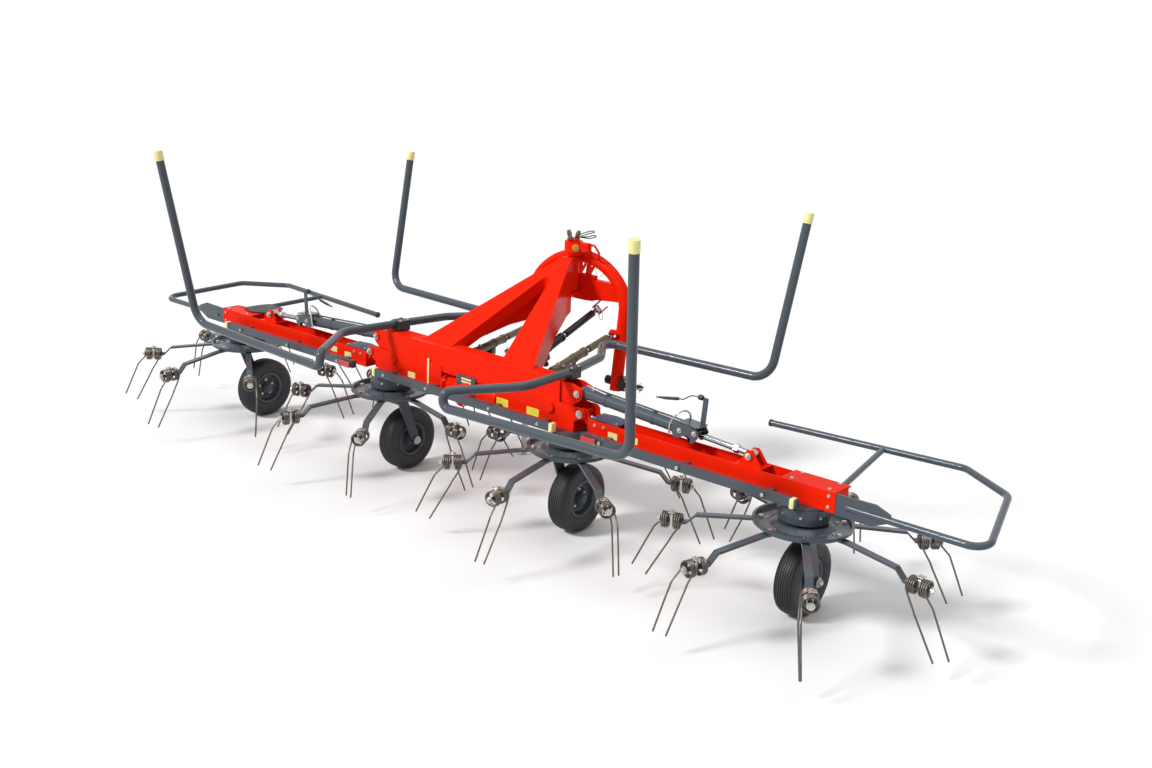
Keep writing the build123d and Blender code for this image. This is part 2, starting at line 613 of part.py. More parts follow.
with BuildPart() as rotor_mounts_centre:
    rotor_mount(-0.5 * PITCH, 1)
    rotor_mount(0.5 * PITCH, -1)
save(rotor_mounts_centre, "rotor_mounts_centre")

for name, s in SIDES:
    with BuildPart() as wing_rotor_mount:
        rotor_mount(s * 1.5 * PITCH, s)
    save(wing_rotor_mount, f"rotor_mount_{name}")

# Rotors ----------------------------------------------------------------------
HUB_Z = LEG_TOP + 28                # underside of the rotor's hub
DISC_PROFILE = (                    # radius, height above that
    (30.3, 0), (58, 0), (58, 26), (118, 26), (142, 10), (206, 10), (213, 21), (220, 21),
    (220, 34), (208, 34), (201, 17), (146, 17), (122, 34), (30.3, 34),
)
ARM_PROFILE = (                     # radius, height of the arm's upper face
    (138, 10), (224, 10), (470, -18), (512, -61), (560, -62),
)
ARM_T, ARM_WIDTH = 12.0, 34.0
STUB_Z, STUB_R = -69.0, 11.0
COIL_R, COIL_BORE, COIL_LENGTH = 39.0, 27.0, 40.0
COILS = (552.0, 608.0)              # radii of the two coils' middles
PRONGS = (                          # radius, lag and height of start, knee and tip
    ((614, 33, -79), (668, 35, -128), (TIP_R, 22, -324)),
    ((548, 33, -81), (584, 37, -166), (TIP_R - 68, 20, -362)),
)
WIRE_R = 4.8

with BuildPart() as arm:
    upper = [(r, z) for r, z in ARM_PROFILE]
    lower = [(r, z - ARM_T) for r, z in reversed(ARM_PROFILE)]
    with BuildSketch(front_plane(ARM_WIDTH / 2)):
        with BuildLine():
            Polyline(*upper, *lower, upper[0])
        make_face()
    extrude(amount=ARM_WIDTH)
    rod((520, 0, STUB_Z), (632, 0, STUB_Z), STUB_R)

for name, pitches, hand, phase in ROTORS:
    x = pitches * PITCH
    with BuildPart() as rotor:
        with BuildSketch(front_plane(0)):
            with BuildLine():
                Polyline(*DISC_PROFILE, DISC_PROFILE[0])
            make_face()
        revolve(axis=Axis.Z)
        with PolarLocations(0, ARMS, start_angle=phase):
            add(arm.part)
    rotor.part.locate(Location((x, 0, HUB_Z)))
    save(rotor, f"rotor_{name}")

    with BuildPart() as tine:
        for middle in COILS:
            with BuildSketch(side_plane(middle - COIL_LENGTH / 2)):
                with Locations((0, STUB_Z)):
                    RegularPolygon(COIL_R, 12)
                    RegularPolygon(COIL_BORE, 8, mode=Mode.SUBTRACT)
            extrude(amount=COIL_LENGTH)
        with Locations((580, 0, STUB_Z + 4)):
            Box(17, 26, 62)
        rod((560, 0, STUB_Z), (600, 0, STUB_Z), STUB_R + 0.3, Mode.SUBTRACT)
        for start, knee, tip in PRONGS:
            with BuildLine() as path:
                Polyline(*[(r, -hand * lag, z) for r, lag, z in (start, knee, tip)])
            with BuildSketch(Plane(origin=path.wire() @ 0, z_dir=path.wire() % 0)):
                RegularPolygon(WIRE_R, 6)
            sweep(path=path.wire(), transition=Transition.RIGHT)
    with BuildPart() as tines:
        with PolarLocations(0, ARMS, start_angle=phase):
            add(tine.part)
    tines.part.locate(Location((x, 0, HUB_Z)))
    save(tines, f"tines_{name}")

# Wheels ----------------------------------------------------------------------
BEAD = 0.72 * TYRE_HALF             # half width between the rim's flanges
TYRE_PROFILE = (                    # radius, half width, from bead to crown
    (RIM_R, BEAD), (RIM_R + 10, BEAD), (RIM_R + 21, 0.92 * TYRE_HALF), (0.79 * TYRE_R, TYRE_HALF),
    (0.91 * TYRE_R, 0.93 * TYRE_HALF), (0.973 * TYRE_R, 0.72 * TYRE_HALF), (TYRE_R, 0.4 * TYRE_HALF),
)
RIM_PROFILE = (                     # half width, radius, from the bore out to the flange
    (40, AXLE_R + 0.5), (40, 32), (4, 32), (4, RIM_R - 8), (BEAD + 5, RIM_R - 8),
    (BEAD + 5, RIM_R + 9), (BEAD, RIM_R + 9), (BEAD, RIM_R),
)
for name, pitches, _, _ in ROTORS:
    x = pitches * PITCH
    centre = x - WHEEL_IN if x > 0 else x + WHEEL_IN
    place = Location((centre, WHEEL_Y, TYRE_R))
    with BuildPart() as tyre:
        with BuildSketch(Plane.XY):
            with BuildLine():
                right = [(w, r) for r, w in TYRE_PROFILE]
                left = [(-w, r) for w, r in reversed(right)]
                Polyline(*right, *left, right[0])
            make_face()
        revolve(axis=Axis.X)
    tyre.part.locate(place)
    save(tyre, f"tyre_{name}")
    with BuildPart() as rim:
        with BuildSketch(Plane.XY):
            with BuildLine():
                left = [(-w, r) for w, r in reversed(RIM_PROFILE)]
                Polyline(*RIM_PROFILE, *left, RIM_PROFILE[0])
            make_face()
        revolve(axis=Axis.X)
    rim.part.locate(place)
    save(rim, f"rim_{name}")

# Yellow end caps of the guard posts
with BuildPart() as post_caps:
    for _, s in SIDES:
        for end, inner in ((GUARD_PATH[0], GUARD_PATH[1]), (GUARD_PATH[-1], GUARD_PATH[-2])):
            a = Vector(s * end[0], *end[1:3])
            b = Vector(s * inner[0], *inner[1:3])
            u = (a - b).normalized()
            rod(tuple(a), tuple(a + u * 22), GUARD_R)
save(post_caps, "post_caps")
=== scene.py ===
"""Looks of the mounted hay tedder: finishes, spring tines, tyre tread, bolts and trim round its frame.

Metres: +X along the working width to the machine's right, +Y forward, +Z up. Places below are given with
Y = 0 on the line of the rotor axes, which stands ROTOR_LINE from the frame's origin.
"""

import json
import math

import bmesh
import bpy
import numpy as np
from bpy.props import FloatProperty, FloatVectorProperty, IntProperty, PointerProperty
from mathutils import Matrix, Vector


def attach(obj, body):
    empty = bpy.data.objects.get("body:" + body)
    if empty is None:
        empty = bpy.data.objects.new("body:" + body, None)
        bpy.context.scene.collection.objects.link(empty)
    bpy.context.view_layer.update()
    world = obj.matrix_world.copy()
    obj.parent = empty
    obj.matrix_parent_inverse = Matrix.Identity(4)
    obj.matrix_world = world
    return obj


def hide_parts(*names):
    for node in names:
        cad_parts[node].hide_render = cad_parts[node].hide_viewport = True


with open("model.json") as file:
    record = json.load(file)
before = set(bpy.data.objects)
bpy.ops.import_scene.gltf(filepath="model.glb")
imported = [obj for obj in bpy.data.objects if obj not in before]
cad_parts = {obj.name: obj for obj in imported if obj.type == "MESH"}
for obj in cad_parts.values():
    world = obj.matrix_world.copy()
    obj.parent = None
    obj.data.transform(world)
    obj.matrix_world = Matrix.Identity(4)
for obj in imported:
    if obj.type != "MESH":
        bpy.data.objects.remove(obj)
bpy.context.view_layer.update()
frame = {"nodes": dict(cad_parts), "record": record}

bl_info = {
    "name": "Hay Tedder Dressing",
    "version": (1, 0, 0),
    "blender": (4, 5, 0),
    "location": "3D View > Sidebar > Tedder",
    "description": "Finishes, spring tines, tyre tread, bolts and trim of a mounted hay tedder",
    "category": "Object",
}

NODES = frame["nodes"]

# Layout of the machine
ROTOR_LINE = (0.0, -0.034, 0.0)
ROTORS = {                      # axis along X, turning hand, angle of the first arm
    "1": (-1.98, -1, 16.5),
    "2": (-0.66, 1, 45.5),
    "3": (0.66, -1, 18.0),
    "4": (1.98, 1, 47.0),
}
CARRIER = {"1": "wing_left", "2": "frame", "3": "frame", "4": "wing_right"}
LEG_SIDE = {"1": -1, "2": 1, "3": -1, "4": 1}
SIDES = (("left", -1), ("right", 1))
UP, BACK, RIGHT = (0, 0, 1), (0, -1, 0), (1, 0, 0)
ARMS = 7
HUB_Z = 0.454                   # underside of the rotor hubs
DISC_TOP = HUB_Z + 0.017
STUB_Z = -0.069                 # stub that holds a tine, from the hub's underside
COIL_MID, COIL_OFFSET = 0.58, 0.028
COIL_OUTER, COIL_HALF = 0.039, 0.02
TYRE_R, TYRE_HALF = 0.178, 0.054
WHEEL_IN, WHEEL_Y = 0.028, 0.098
BEAM_TOP, BEAM_HALF = 0.672, 0.055
MAIN_TOP, MAIN_BASE = 0.82, 0.685
FOLD_PIN = (0.76, 0.685)
FOLD_BASE, FOLD_EYE = (0.725, 0.775), (1.701, 0.714)
SWIVEL_Y = 0.742
DAMPERS = {                     # frame pin and headstock pin
    "left": ((-0.14, 0.084, 0.765), (-0.312, 0.727, 0.78)),
    "right": ((0.41, 0.084, 0.775), (0.3, 0.73, 0.852)),
    "centre": ((0.165, 0.084, 0.712), (0.145, 0.8, 0.96)),
}


# Colours and material nodes
def linear(hex_code):
    """RGBA in linear light from an sRGB hex code."""
    channels = [int(hex_code[i:i + 2], 16) / 255 for i in (1, 3, 5)]
    return tuple(c / 12.92 if c <= 0.04045 else ((c + 0.055) / 1.055) ** 2.4 for c in channels) + (1.0,)


def add_node(tree, kind, inputs=None, **settings):
    """Add one shader node; each input is given a value, or another node's output socket to link from."""
    node = tree.nodes.new("ShaderNode" + kind)
    for name, value in settings.items():
        setattr(node, name, value)
    for socket, value in (inputs or {}).items():
        if isinstance(value, bpy.types.NodeSocket):
            tree.links.new(value, node.inputs[socket])
        else:
            node.inputs[socket].default_value = value
    return node


def new_material(name):
    """Empty node material; returns it, its tree and the Object coordinates."""
    material = bpy.data.materials.new(name)
    material.use_nodes = True
    tree = material.node_tree
    tree.nodes.clear()
    place = add_node(tree, "TexCoord").outputs["Object"]
    return material, tree, place


def shade(colour, factor):
    """A colour lighter or darker by a factor."""
    return tuple(min(1.0, c * factor) for c in colour[:3]) + (1.0,)


def clouded(tree, place, colour, scale, detail, darker, lighter, smooth, dull):
    """Tone and roughness that drift together with one soft noise: between a darker and a lighter shade of the
    colour, and between a smoother and a duller gloss."""
    cloud = add_node(tree, "TexNoise", {"Vector": place, "Scale": scale, "Detail": detail})
    tone = add_node(tree, "Mix", {
        0: cloud.outputs["Fac"], 6: shade(colour, darker), 7: shade(colour, lighter)}, data_type="RGBA")
    rough = add_node(tree, "MapRange", {
        "Value": cloud.outputs["Fac"], "From Min": 0.3, "From Max": 0.7, "To Min": smooth, "To Max": dull})
    return tone.outputs[2], rough.outputs["Result"]


def close_material(tree, **inputs):
    """Principled shader with these sockets, joined to the output."""
    sockets = {name.replace("_", " "): value for name, value in inputs.items()}
    shader = add_node(tree, "BsdfPrincipled", sockets)
    add_node(tree, "OutputMaterial", {"Surface": shader.outputs["BSDF"]})


def powder_coat(name, colour, gloss, coat, level=0.2):
    """Baked powder paint on welded steel: an even, saturated film with faint orange peel and a clear gloss,
    whose colour is painted lighter at edges and corners, a painted highlight where rounded edges catch the
    light."""
    material, tree, place = new_material(name)
    tone, rough = clouded(tree, place, colour, 5.0, 4.0, 0.93, 1.06, gloss - 0.05, gloss + 0.07)
    # orange peel is about 2 mm across on the real film, and 5 mm here so that it shows
    peel = add_node(tree, "TexNoise", {"Vector": place, "Scale": 200.0, "Detail": 1.5})
    rounded = add_node(tree, "Bevel", {"Radius": 0.0022}, samples=4)
    flat = add_node(tree, "NewGeometry")
    facing = add_node(tree, "VectorMath", {0: rounded.outputs[0], 1: flat.outputs["Normal"]},
                      operation="DOT_PRODUCT")
    # painted highlight: the colour turns lighter where the bevel's rounded normal leaves the flat one, at
    # edges and corners
    edge = add_node(tree, "MapRange", {
        "Value": facing.outputs["Value"], "From Min": 0.98, "From Max": 0.75, "To Min": 0.0, "To Max": 0.5})
    painted_edge_highlight = add_node(tree, "Mix", {0: edge.outputs["Result"], 6: tone, 7: shade(colour, 1.7)},
                   data_type="RGBA")
    relief = add_node(tree, "Bump", {
        "Height": peel.outputs["Fac"], "Strength": 0.12, "Distance": 0.0006, "Normal": rounded.outputs[0]})
    close_material(tree, Base_Color=painted_edge_highlight.outputs[2], Roughness=rough, Normal=relief.outputs["Normal"],
                   IOR=1.4, Specular_IOR_Level=level, Coat_Weight=coat, Coat_Roughness=0.05, Coat_IOR=1.35)
    return material


def bare_metal(name, colour, gloss, cloud_size, mottle):
    """Uncoated or plated metal: clouds of slightly different tone and gloss from rolling, plating or oil."""
    material, tree, place = new_material(name)
    tone, rough = clouded(tree, place, colour, 1 / cloud_size, 5.0, 1 - mottle, 1 + mottle,
                          gloss * 0.75, gloss * 1.3)
    grain = add_node(tree, "TexNoise", {"Vector": place, "Scale": 400.0, "Detail": 2.0})
    relief = add_node(tree, "Bump", {"Height": grain.outputs["Fac"], "Strength": 0.06,
                                               "Distance": 0.0004})
    close_material(tree, Base_Color=tone, Roughness=rough, Metallic=1.0, Normal=relief.outputs["Normal"])
    return material


def moulded(name, colour, gloss, grit, depth):
    """Moulded rubber or plastic: one deep tone with a fine pebbled skin and patches rubbed smoother."""
    material, tree, place = new_material(name)
    pebble = add_node(tree, "TexVoronoi", {"Vector": place, "Scale": 1 / grit})
    tone, rough = clouded(tree, place, colour, 18.0, 4.0, 0.82, 1.18, gloss - 0.08, gloss + 0.08)
    relief = add_node(tree, "Bump", {"Height": pebble.outputs["Distance"], "Strength": depth,
                                               "Distance": 0.0006})
    close_material(tree, Base_Color=tone, Roughness=rough, Normal=relief.outputs["Normal"], IOR=1.5)
    return material


def prismatic(name, colour):
    """Reflector lens: clear coloured acrylic over a field of small corner cubes that break up the light."""
    material, tree, place = new_material(name)
    cube = add_node(tree, "TexVoronoi", {"Vector": place, "Scale": 220.0}, distance="MANHATTAN")
    # painted glints: each cube's tone is lighter at its middle and darker towards its rim, standing in for
    # the light that the cubes break up
    tone = add_node(tree, "Mix", {0: cube.outputs["Distance"], 6: shade(colour, 1.15),
                                            7: shade(colour, 0.6)}, data_type="RGBA")
    relief = add_node(tree, "Bump", {"Height": cube.outputs["Distance"], "Strength": 0.5,
                                               "Distance": 0.001})
    close_material(tree, Base_Color=tone.outputs[2], Roughness=0.12, Normal=relief.outputs["Normal"],
                   IOR=1.49, Coat_Weight=0.8, Coat_Roughness=0.03)
    return material


# Surfaces
# A shell is an array of points and a list of face arrays, closed all round.
def grid_faces(rows, cols, wrap_rows=False):
    """Quads of a grid of rings; the last point of a ring joins its first, and so may the last ring."""
    row = np.arange(rows if wrap_rows else rows - 1)[:, None]
    col = np.arange(cols)[None, :]
    below, beside = (row + 1) % rows, (col + 1) % cols
    quads = np.stack((row * cols + col, row * cols + beside, below * cols + beside, below * cols + col), -1)
    return quads.reshape(-1, 4)


def capped(rings, first, last):
    """Shell of stacked rings, closed by a fan to one point at each end."""
    rows, cols = rings.shape[:2]
    points = np.concatenate((rings.reshape(-1, 3), [first], [last]))
    ring = np.arange(cols)
    beside = (ring + 1) % cols
    near = np.stack((beside, ring, np.full(cols, rows * cols)), -1)
    over = (rows - 1) * cols
    far = np.stack((ring + over, beside + over, np.full(cols, rows * cols + 1)), -1)
    return points, [grid_faces(rows, cols), near, far]


def unit(vectors):
    """Vectors scaled to length one."""
    vectors = np.asarray(vectors, float)
    return vectors / np.linalg.norm(vectors, axis=-1, keepdims=True)


def eased(points, steps):
    """Curve through the points: each stretch is the cubic whose end slopes are half the chord between the
    points before and after, sampled in equal steps of its parameter."""
    p = np.asarray(points, float)
    q = np.concatenate((2 * p[:1] - p[1:2], p, 2 * p[-1:] - p[-2:-1]))
    a, b, c, d = q[:-3], q[1:-2], q[2:-1], q[3:]
    t = (np.arange(steps) / steps)[:, None, None]
    curve = 0.5 * (2 * b + (c - a) * t + (2 * a - 5 * b + 4 * c - d) * t ** 2
                   + (3 * b - a - 3 * c + d) * t ** 3)
    return np.concatenate((curve.transpose(1, 0, 2).reshape(-1, 3), p[-1:]))


def wire(path, side, radius, sides=8):
    """Round bar: at each point of the path a circle stands across the path's direction, turned so that its
    first point lies towards `side`; a smaller circle and a pole close each end."""
    path = np.asarray(path, float)
    along = unit(np.gradient(path, axis=0))
    side = np.broadcast_to(np.asarray(side, float), path.shape)
    radius = np.broadcast_to(np.asarray(radius, float), len(path))
    side = unit(side - (side * along).sum(1, keepdims=True) * along)
    up = np.cross(along, side)
    centre = np.concatenate((path[:1] - along[:1] * radius[0] * 0.5, path,
                             path[-1:] + along[-1:] * radius[-1] * 0.5))
    radius = np.concatenate(([radius[0] * 0.6], radius, [radius[-1] * 0.6]))
    side = np.concatenate((side[:1], side, side[-1:]))
    up = np.concatenate((up[:1], up, up[-1:]))
    turn = 2 * np.pi * np.arange(sides) / sides
    round_ = np.cos(turn)[:, None] * side[:, None] + np.sin(turn)[:, None] * up[:, None]
    rings = centre[:, None] + radius[:, None, None] * round_
    return capped(rings, centre[0], centre[-1])


def turned(profile, sides, corners=1.0):
    """Rings about local Z: each height and radius of the profile becomes a ring of points, whose radius is
    multiplied around the turn by `corners`."""
    height, radius = np.asarray(profile, float).T
    turn = 2 * np.pi * np.arange(sides) / sides
    reach = radius[:, None] * np.broadcast_to(corners, (len(height), sides))
    return np.stack((reach * np.cos(turn), reach * np.sin(turn),
                     np.broadcast_to(height[:, None], reach.shape)), -1)


def lathe(profile, sides=24, corners=1.0):
    """Turned form about local Z, whose first and last ring close on a point."""
    return capped(turned(profile, sides, corners), (0, 0, profile[0][0]), (0, 0, profile[-1][0]))


def ring_form(profile, sides=48):
    """Hollow turned form about local Z: a closed loop of heights and radii carried round the axis."""
    return turned(profile, sides).reshape(-1, 3), [grid_faces(len(profile), sides, wrap_rows=True)]


def plate(outline, thickness, bevel=0.0008):
    """Flat form on local Z = 0: the outline carried up through the thickness, drawn in by the bevel at both
    faces, which close on a point in their middle."""
    outline = np.asarray(outline, float)
    centre = outline.mean(0)
    arm = outline - centre
    inner = centre + arm * (1 - bevel / np.linalg.norm(arm, axis=1, keepdims=True))
    heights = (0, bevel, thickness - bevel, thickness)
    rings = np.stack([np.column_stack((xy, np.full(len(xy), z)))
                      for xy, z in zip((inner, outline, outline, inner), heights)])
    return capped(rings, (*centre, 0), (*centre, thickness))


def rounded(width, height, radius, steps=4):
    """Outline of a rectangle about the origin: each corner is a quarter circle in equal steps."""
    turn = np.pi / 2 * np.linspace(0, 1, steps + 1)
    corner = np.repeat(np.arange(4), steps + 1)
    angle = np.tile(turn, 4) + corner * np.pi / 2
    x = np.array([1, -1, -1, 1])[corner] * (width / 2 - radius)
    y = np.array([1, 1, -1, -1])[corner] * (height / 2 - radius)
    return np.column_stack((x + radius * np.cos(angle), y + radius * np.sin(angle)))


def placed(shell, origins, axis, across=None):
    """The shell at each origin, with its local Z along the axis and its local X towards `across`."""
    points, faces = shell
    origins = np.atleast_2d(np.asarray(origins, float))
    z = np.broadcast_to(unit(axis), origins.shape)
    if across is None:
        across = np.where(np.abs(z[:, 2:]) > 0.9, (1.0, 0.0, 0.0), (0.0, 0.0, 1.0))
    x = np.broadcast_to(np.asarray(across, float), z.shape)
    x = unit(x - (x * z).sum(1, keepdims=True) * z)
    y = np.cross(z, x)
    spread = (origins[:, None] + points[None, :, 0:1] * x[:, None] + points[None, :, 1:2] * y[:, None]
              + points[None, :, 2:3] * z[:, None])
    return repeated(spread, faces)


def repeated(spread, faces):
    """One shell from several copies of the same points, stacked copy by copy."""
    copies, count = spread.shape[:2]
    shift = (np.arange(copies) * count)[:, None, None]
    return spread.reshape(-1, 3), [(f[None] + shift).reshape(-1, f.shape[1]) for f in faces]


def on_rotor(shell, rotor):
    """The shell, given on an arm along local X, repeated round a rotor; local Z is from the hub's underside
    and local Y trails behind the arm."""
    points, faces = shell
    x, hand, first = ROTORS[rotor]
    turn = np.radians(first + 360 / ARMS * np.arange(ARMS))[:, None]
    reach, lag = points[None, :, 0], hand * points[None, :, 1]
    height = np.broadcast_to(HUB_Z + points[None, :, 2], (ARMS, len(points)))
    spread = np.stack((x + reach * np.cos(turn) - lag * np.sin(turn),
                       reach * np.sin(turn) + lag * np.cos(turn), height), -1)
    return repeated(spread, faces)


def mirror_x(shell, side):
    """The shell on the left when side is -1."""
    points, faces = shell
    return points * (side, 1, 1), faces


HEX = math.cos(math.pi / 6) / np.cos((np.arange(12) % 2) * np.pi / 6)     # flats between six corners


def bolt(size):
    """Hexagon head on a round washer, lying on local Z = 0: rings of twelve points, drawn in to six flats."""
    corners = np.array([np.ones(12)] * 3 + [HEX / HEX.max()] * 4)
    return lathe(((0, size * 1.1), (size * 0.18, size * 1.1), (size * 0.2, size * 1.0),
                  (size * 0.2, size * 0.95), (size * 0.75, size * 0.95), (size * 0.85, size * 0.85),
                  (size * 0.86, size * 0.3)), 12, corners)


def washer_nut(size):
    """Broad washer under a nut with the bolt's rounded end standing through it."""
    ones, flats = np.ones(12), HEX / HEX.max()
    corners = np.array([ones] * 3 + [flats] * 3 + [ones] * 3)
    return lathe(((0, size * 1.45), (size * 0.2, size * 1.45), (size * 0.22, size * 1.3),
                  (size * 0.22, size), (size * 0.9, size), (size, size * 0.88), (size, size * 0.5),
                  (size * 1.25, size * 0.48), (size * 1.35, size * 0.3)), 12, corners)


def add_piece(name, body, finish, shells, replaces=(), crease=38.0):
    """One object from closed shells, its faces turned outwards, riding on a body of the frame, with the
    finish in its slot."""
    count, points, faces = 0, [], []
    for shell_points, shell_faces in shells:
        points.append(shell_points)
        faces.extend((f + count).tolist() for f in shell_faces)
        count += len(shell_points)
    mesh = bpy.data.meshes.new(name)
    faces = [face for group in faces for face in group]
    mesh.from_pydata((np.concatenate(points) + ROTOR_LINE).tolist(), [], faces)
    work = bmesh.new()
    work.from_mesh(mesh)
    bmesh.ops.recalc_face_normals(work, faces=work.faces)
    work.to_mesh(mesh)
    work.free()
    mesh.shade_smooth()
    mesh.set_sharp_from_angle(angle=math.radians(crease))
    mesh.materials.append(MATERIALS[finish])
    piece = bpy.data.objects.new(name, mesh)
    bpy.context.scene.collection.objects.link(piece)
    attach(piece, body)
    if replaces:
        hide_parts(*replaces)
    return piece


# Settings
def colour_setting(name, description, hex_code):
    """Colour property with its default from an sRGB hex code."""
    return FloatVectorProperty(name=name, description=description, subtype="COLOR", min=0, max=1,
                               default=linear(hex_code)[:3])


def length_setting(name, description, default):
    """Length property in metres."""
    return FloatProperty(name=name, description=description, default=default, min=0.0001,
                         subtype="DISTANCE", unit="LENGTH")


class TedderColours(bpy.types.PropertyGroup):
    """Colours of the finishes."""
    red: colour_setting("Beam Red", "Powder paint of the beams and headstock", "#EE2409")
    grey: colour_setting("Tube Grey", "Powder paint of tubes, rails, rotors and rims", "#485058")
    olive: colour_setting("Damper Olive", "Paint of the outer dampers' barrels", "#625E49")
    black: colour_setting("Black Plastic", "Clamps, plugs and the centre damper", "#1D1E21")
    rubber: colour_setting("Tyre Rubber", "Rubber of the tyres", "#222326")
    flap: colour_setting("Flap Blue", "Reinforced rubber flaps over the wing hinges", "#39415F")
    cap: colour_setting("Cap Yellow", "End caps of posts and rails, and blank plates", "#F1E6A2")
    plate: colour_setting("Plate Yellow", "Blank plates on the carriers", "#F3DC4E")
    spring: colour_setting("Spring Steel", "Oil-tempered wire of the tines", "#6A625C")
    zinc: colour_setting("Zinc", "Plating of bolts, pins and clips", "#BFBDB5")
    chrome: colour_setting("Chrome", "Plating of the cylinder rods", "#A8ABB1")
    amber: colour_setting("Amber", "Reflector on the headstock", "#FFA41C")


class TedderSizes(bpy.types.PropertyGroup):
    """Sizes of springs, tread and fasteners."""
    wire: length_setting("Tine Wire", "Radius of the tines' spring wire", 0.0043)
    turns: FloatProperty(name="Coil Turns", description="Turns of each of a tine's two coils",
                         default=3.3, min=1.3, max=3.3)
    ribs: IntProperty(name="Tyre Ribs", description="Grooves round a tyre's tread", default=8, min=2, max=12)
    groove: length_setting("Groove Depth", "Depth of the grooves between the ribs", 0.004)
    weld: length_setting("Weld Bead", "Radius of the weld beads", 0.0042)


class TedderPiece:
    """What the operators share."""
    bl_options = {"REGISTER", "UNDO"}

    @property
    def colours(self):
        return bpy.context.scene.tedder_colours

    @property
    def sizes(self):
        return bpy.context.scene.tedder_sizes


MATERIALS = {}


class TEDDER_OT_finishes(TedderPiece, bpy.types.Operator):
    """Make the finishes and put them on the frame's own parts"""
    bl_idname = "tedder.finishes"
    bl_label = "Finishes"

    def execute(self, context):
        colours = self.colours
        made = {
            # orange-red gloss powder paint: saturated, wet-looking
            "paint_red": powder_coat("red_powder_coat", colours.red, 0.3, 0.06, 0.03),
            # slate-grey satin powder paint on tube and plate
            "paint_grey": powder_coat("grey_powder_coat", colours.grey, 0.3, 0.55),
            # black enamel on link brackets and the centre damper: deep, with a clear gloss
            "black_enamel": powder_coat("black_enamel", colours.black, 0.36, 0.4),
            # olive enamel on the outer dampers: muted, with a softer gloss
            "olive": powder_coat("olive_enamel", colours.olive, 0.36, 0.3),
            # oil-tempered spring wire: dark brown-grey with a sharp sheen
            "spring_steel": bare_metal("oil_tempered_spring_wire", colours.spring, 0.34, 0.05, 0.25),
            # bright zinc plate: pale, slightly cloudy metal
            "pin_steel": bare_metal("bright_zinc_plate", colours.zinc, 0.3, 0.02, 0.1),
            # hard chrome on ground bar: a clean mirror
            "rod_chrome": bare_metal("hard_chrome_rod", colours.chrome, 0.09, 0.1, 0.03),
            # carbon-black tyre rubber: near black, soft sheen
            "tyre_black": moulded("tyre_rubber", colours.rubber, 0.55, 0.003, 0.35),
            # fabric-reinforced rubber sheet: dark blue, leathery
            "rubber_flap": moulded("reinforced_rubber_sheet", colours.flap, 0.48, 0.004, 0.4),
            # moulded polyamide: black with a fine pebble
            "black_plastic": moulded("black_polyamide", colours.black, 0.42, 0.002, 0.3),
            # soft vinyl caps: pale yellow, waxy
            "cap_yellow": moulded("pale_yellow_vinyl", colours.cap, 0.4, 0.003, 0.12),
            # vinyl film on the blank plates: stronger yellow, smooth
            "plate_yellow": moulded("yellow_vinyl_film", colours.plate, 0.35, 0.004, 0.05),
            # acrylic reflectors: glassy, with painted glints of the light broken up inside
            "reflector_amber": prismatic("amber_acrylic_lens", colours.amber),
            "reflector_red": prismatic("red_acrylic_lens", linear("#D0100C")),
        }
        MATERIALS.update(made)
        finish_of = {"damper_barrel_left": "olive", "damper_barrel_right": "olive",
                     "damper_barrel_centre": "black_enamel", "lower_link_pins": "black_enamel"}
        for part in frame["record"]["subparts"]:
            mesh = NODES[part["node"]].data
            mesh.materials.clear()
            mesh.materials.append(MATERIALS[finish_of.get(part["node"], part["material_slot"])])
        return {"FINISHED"}


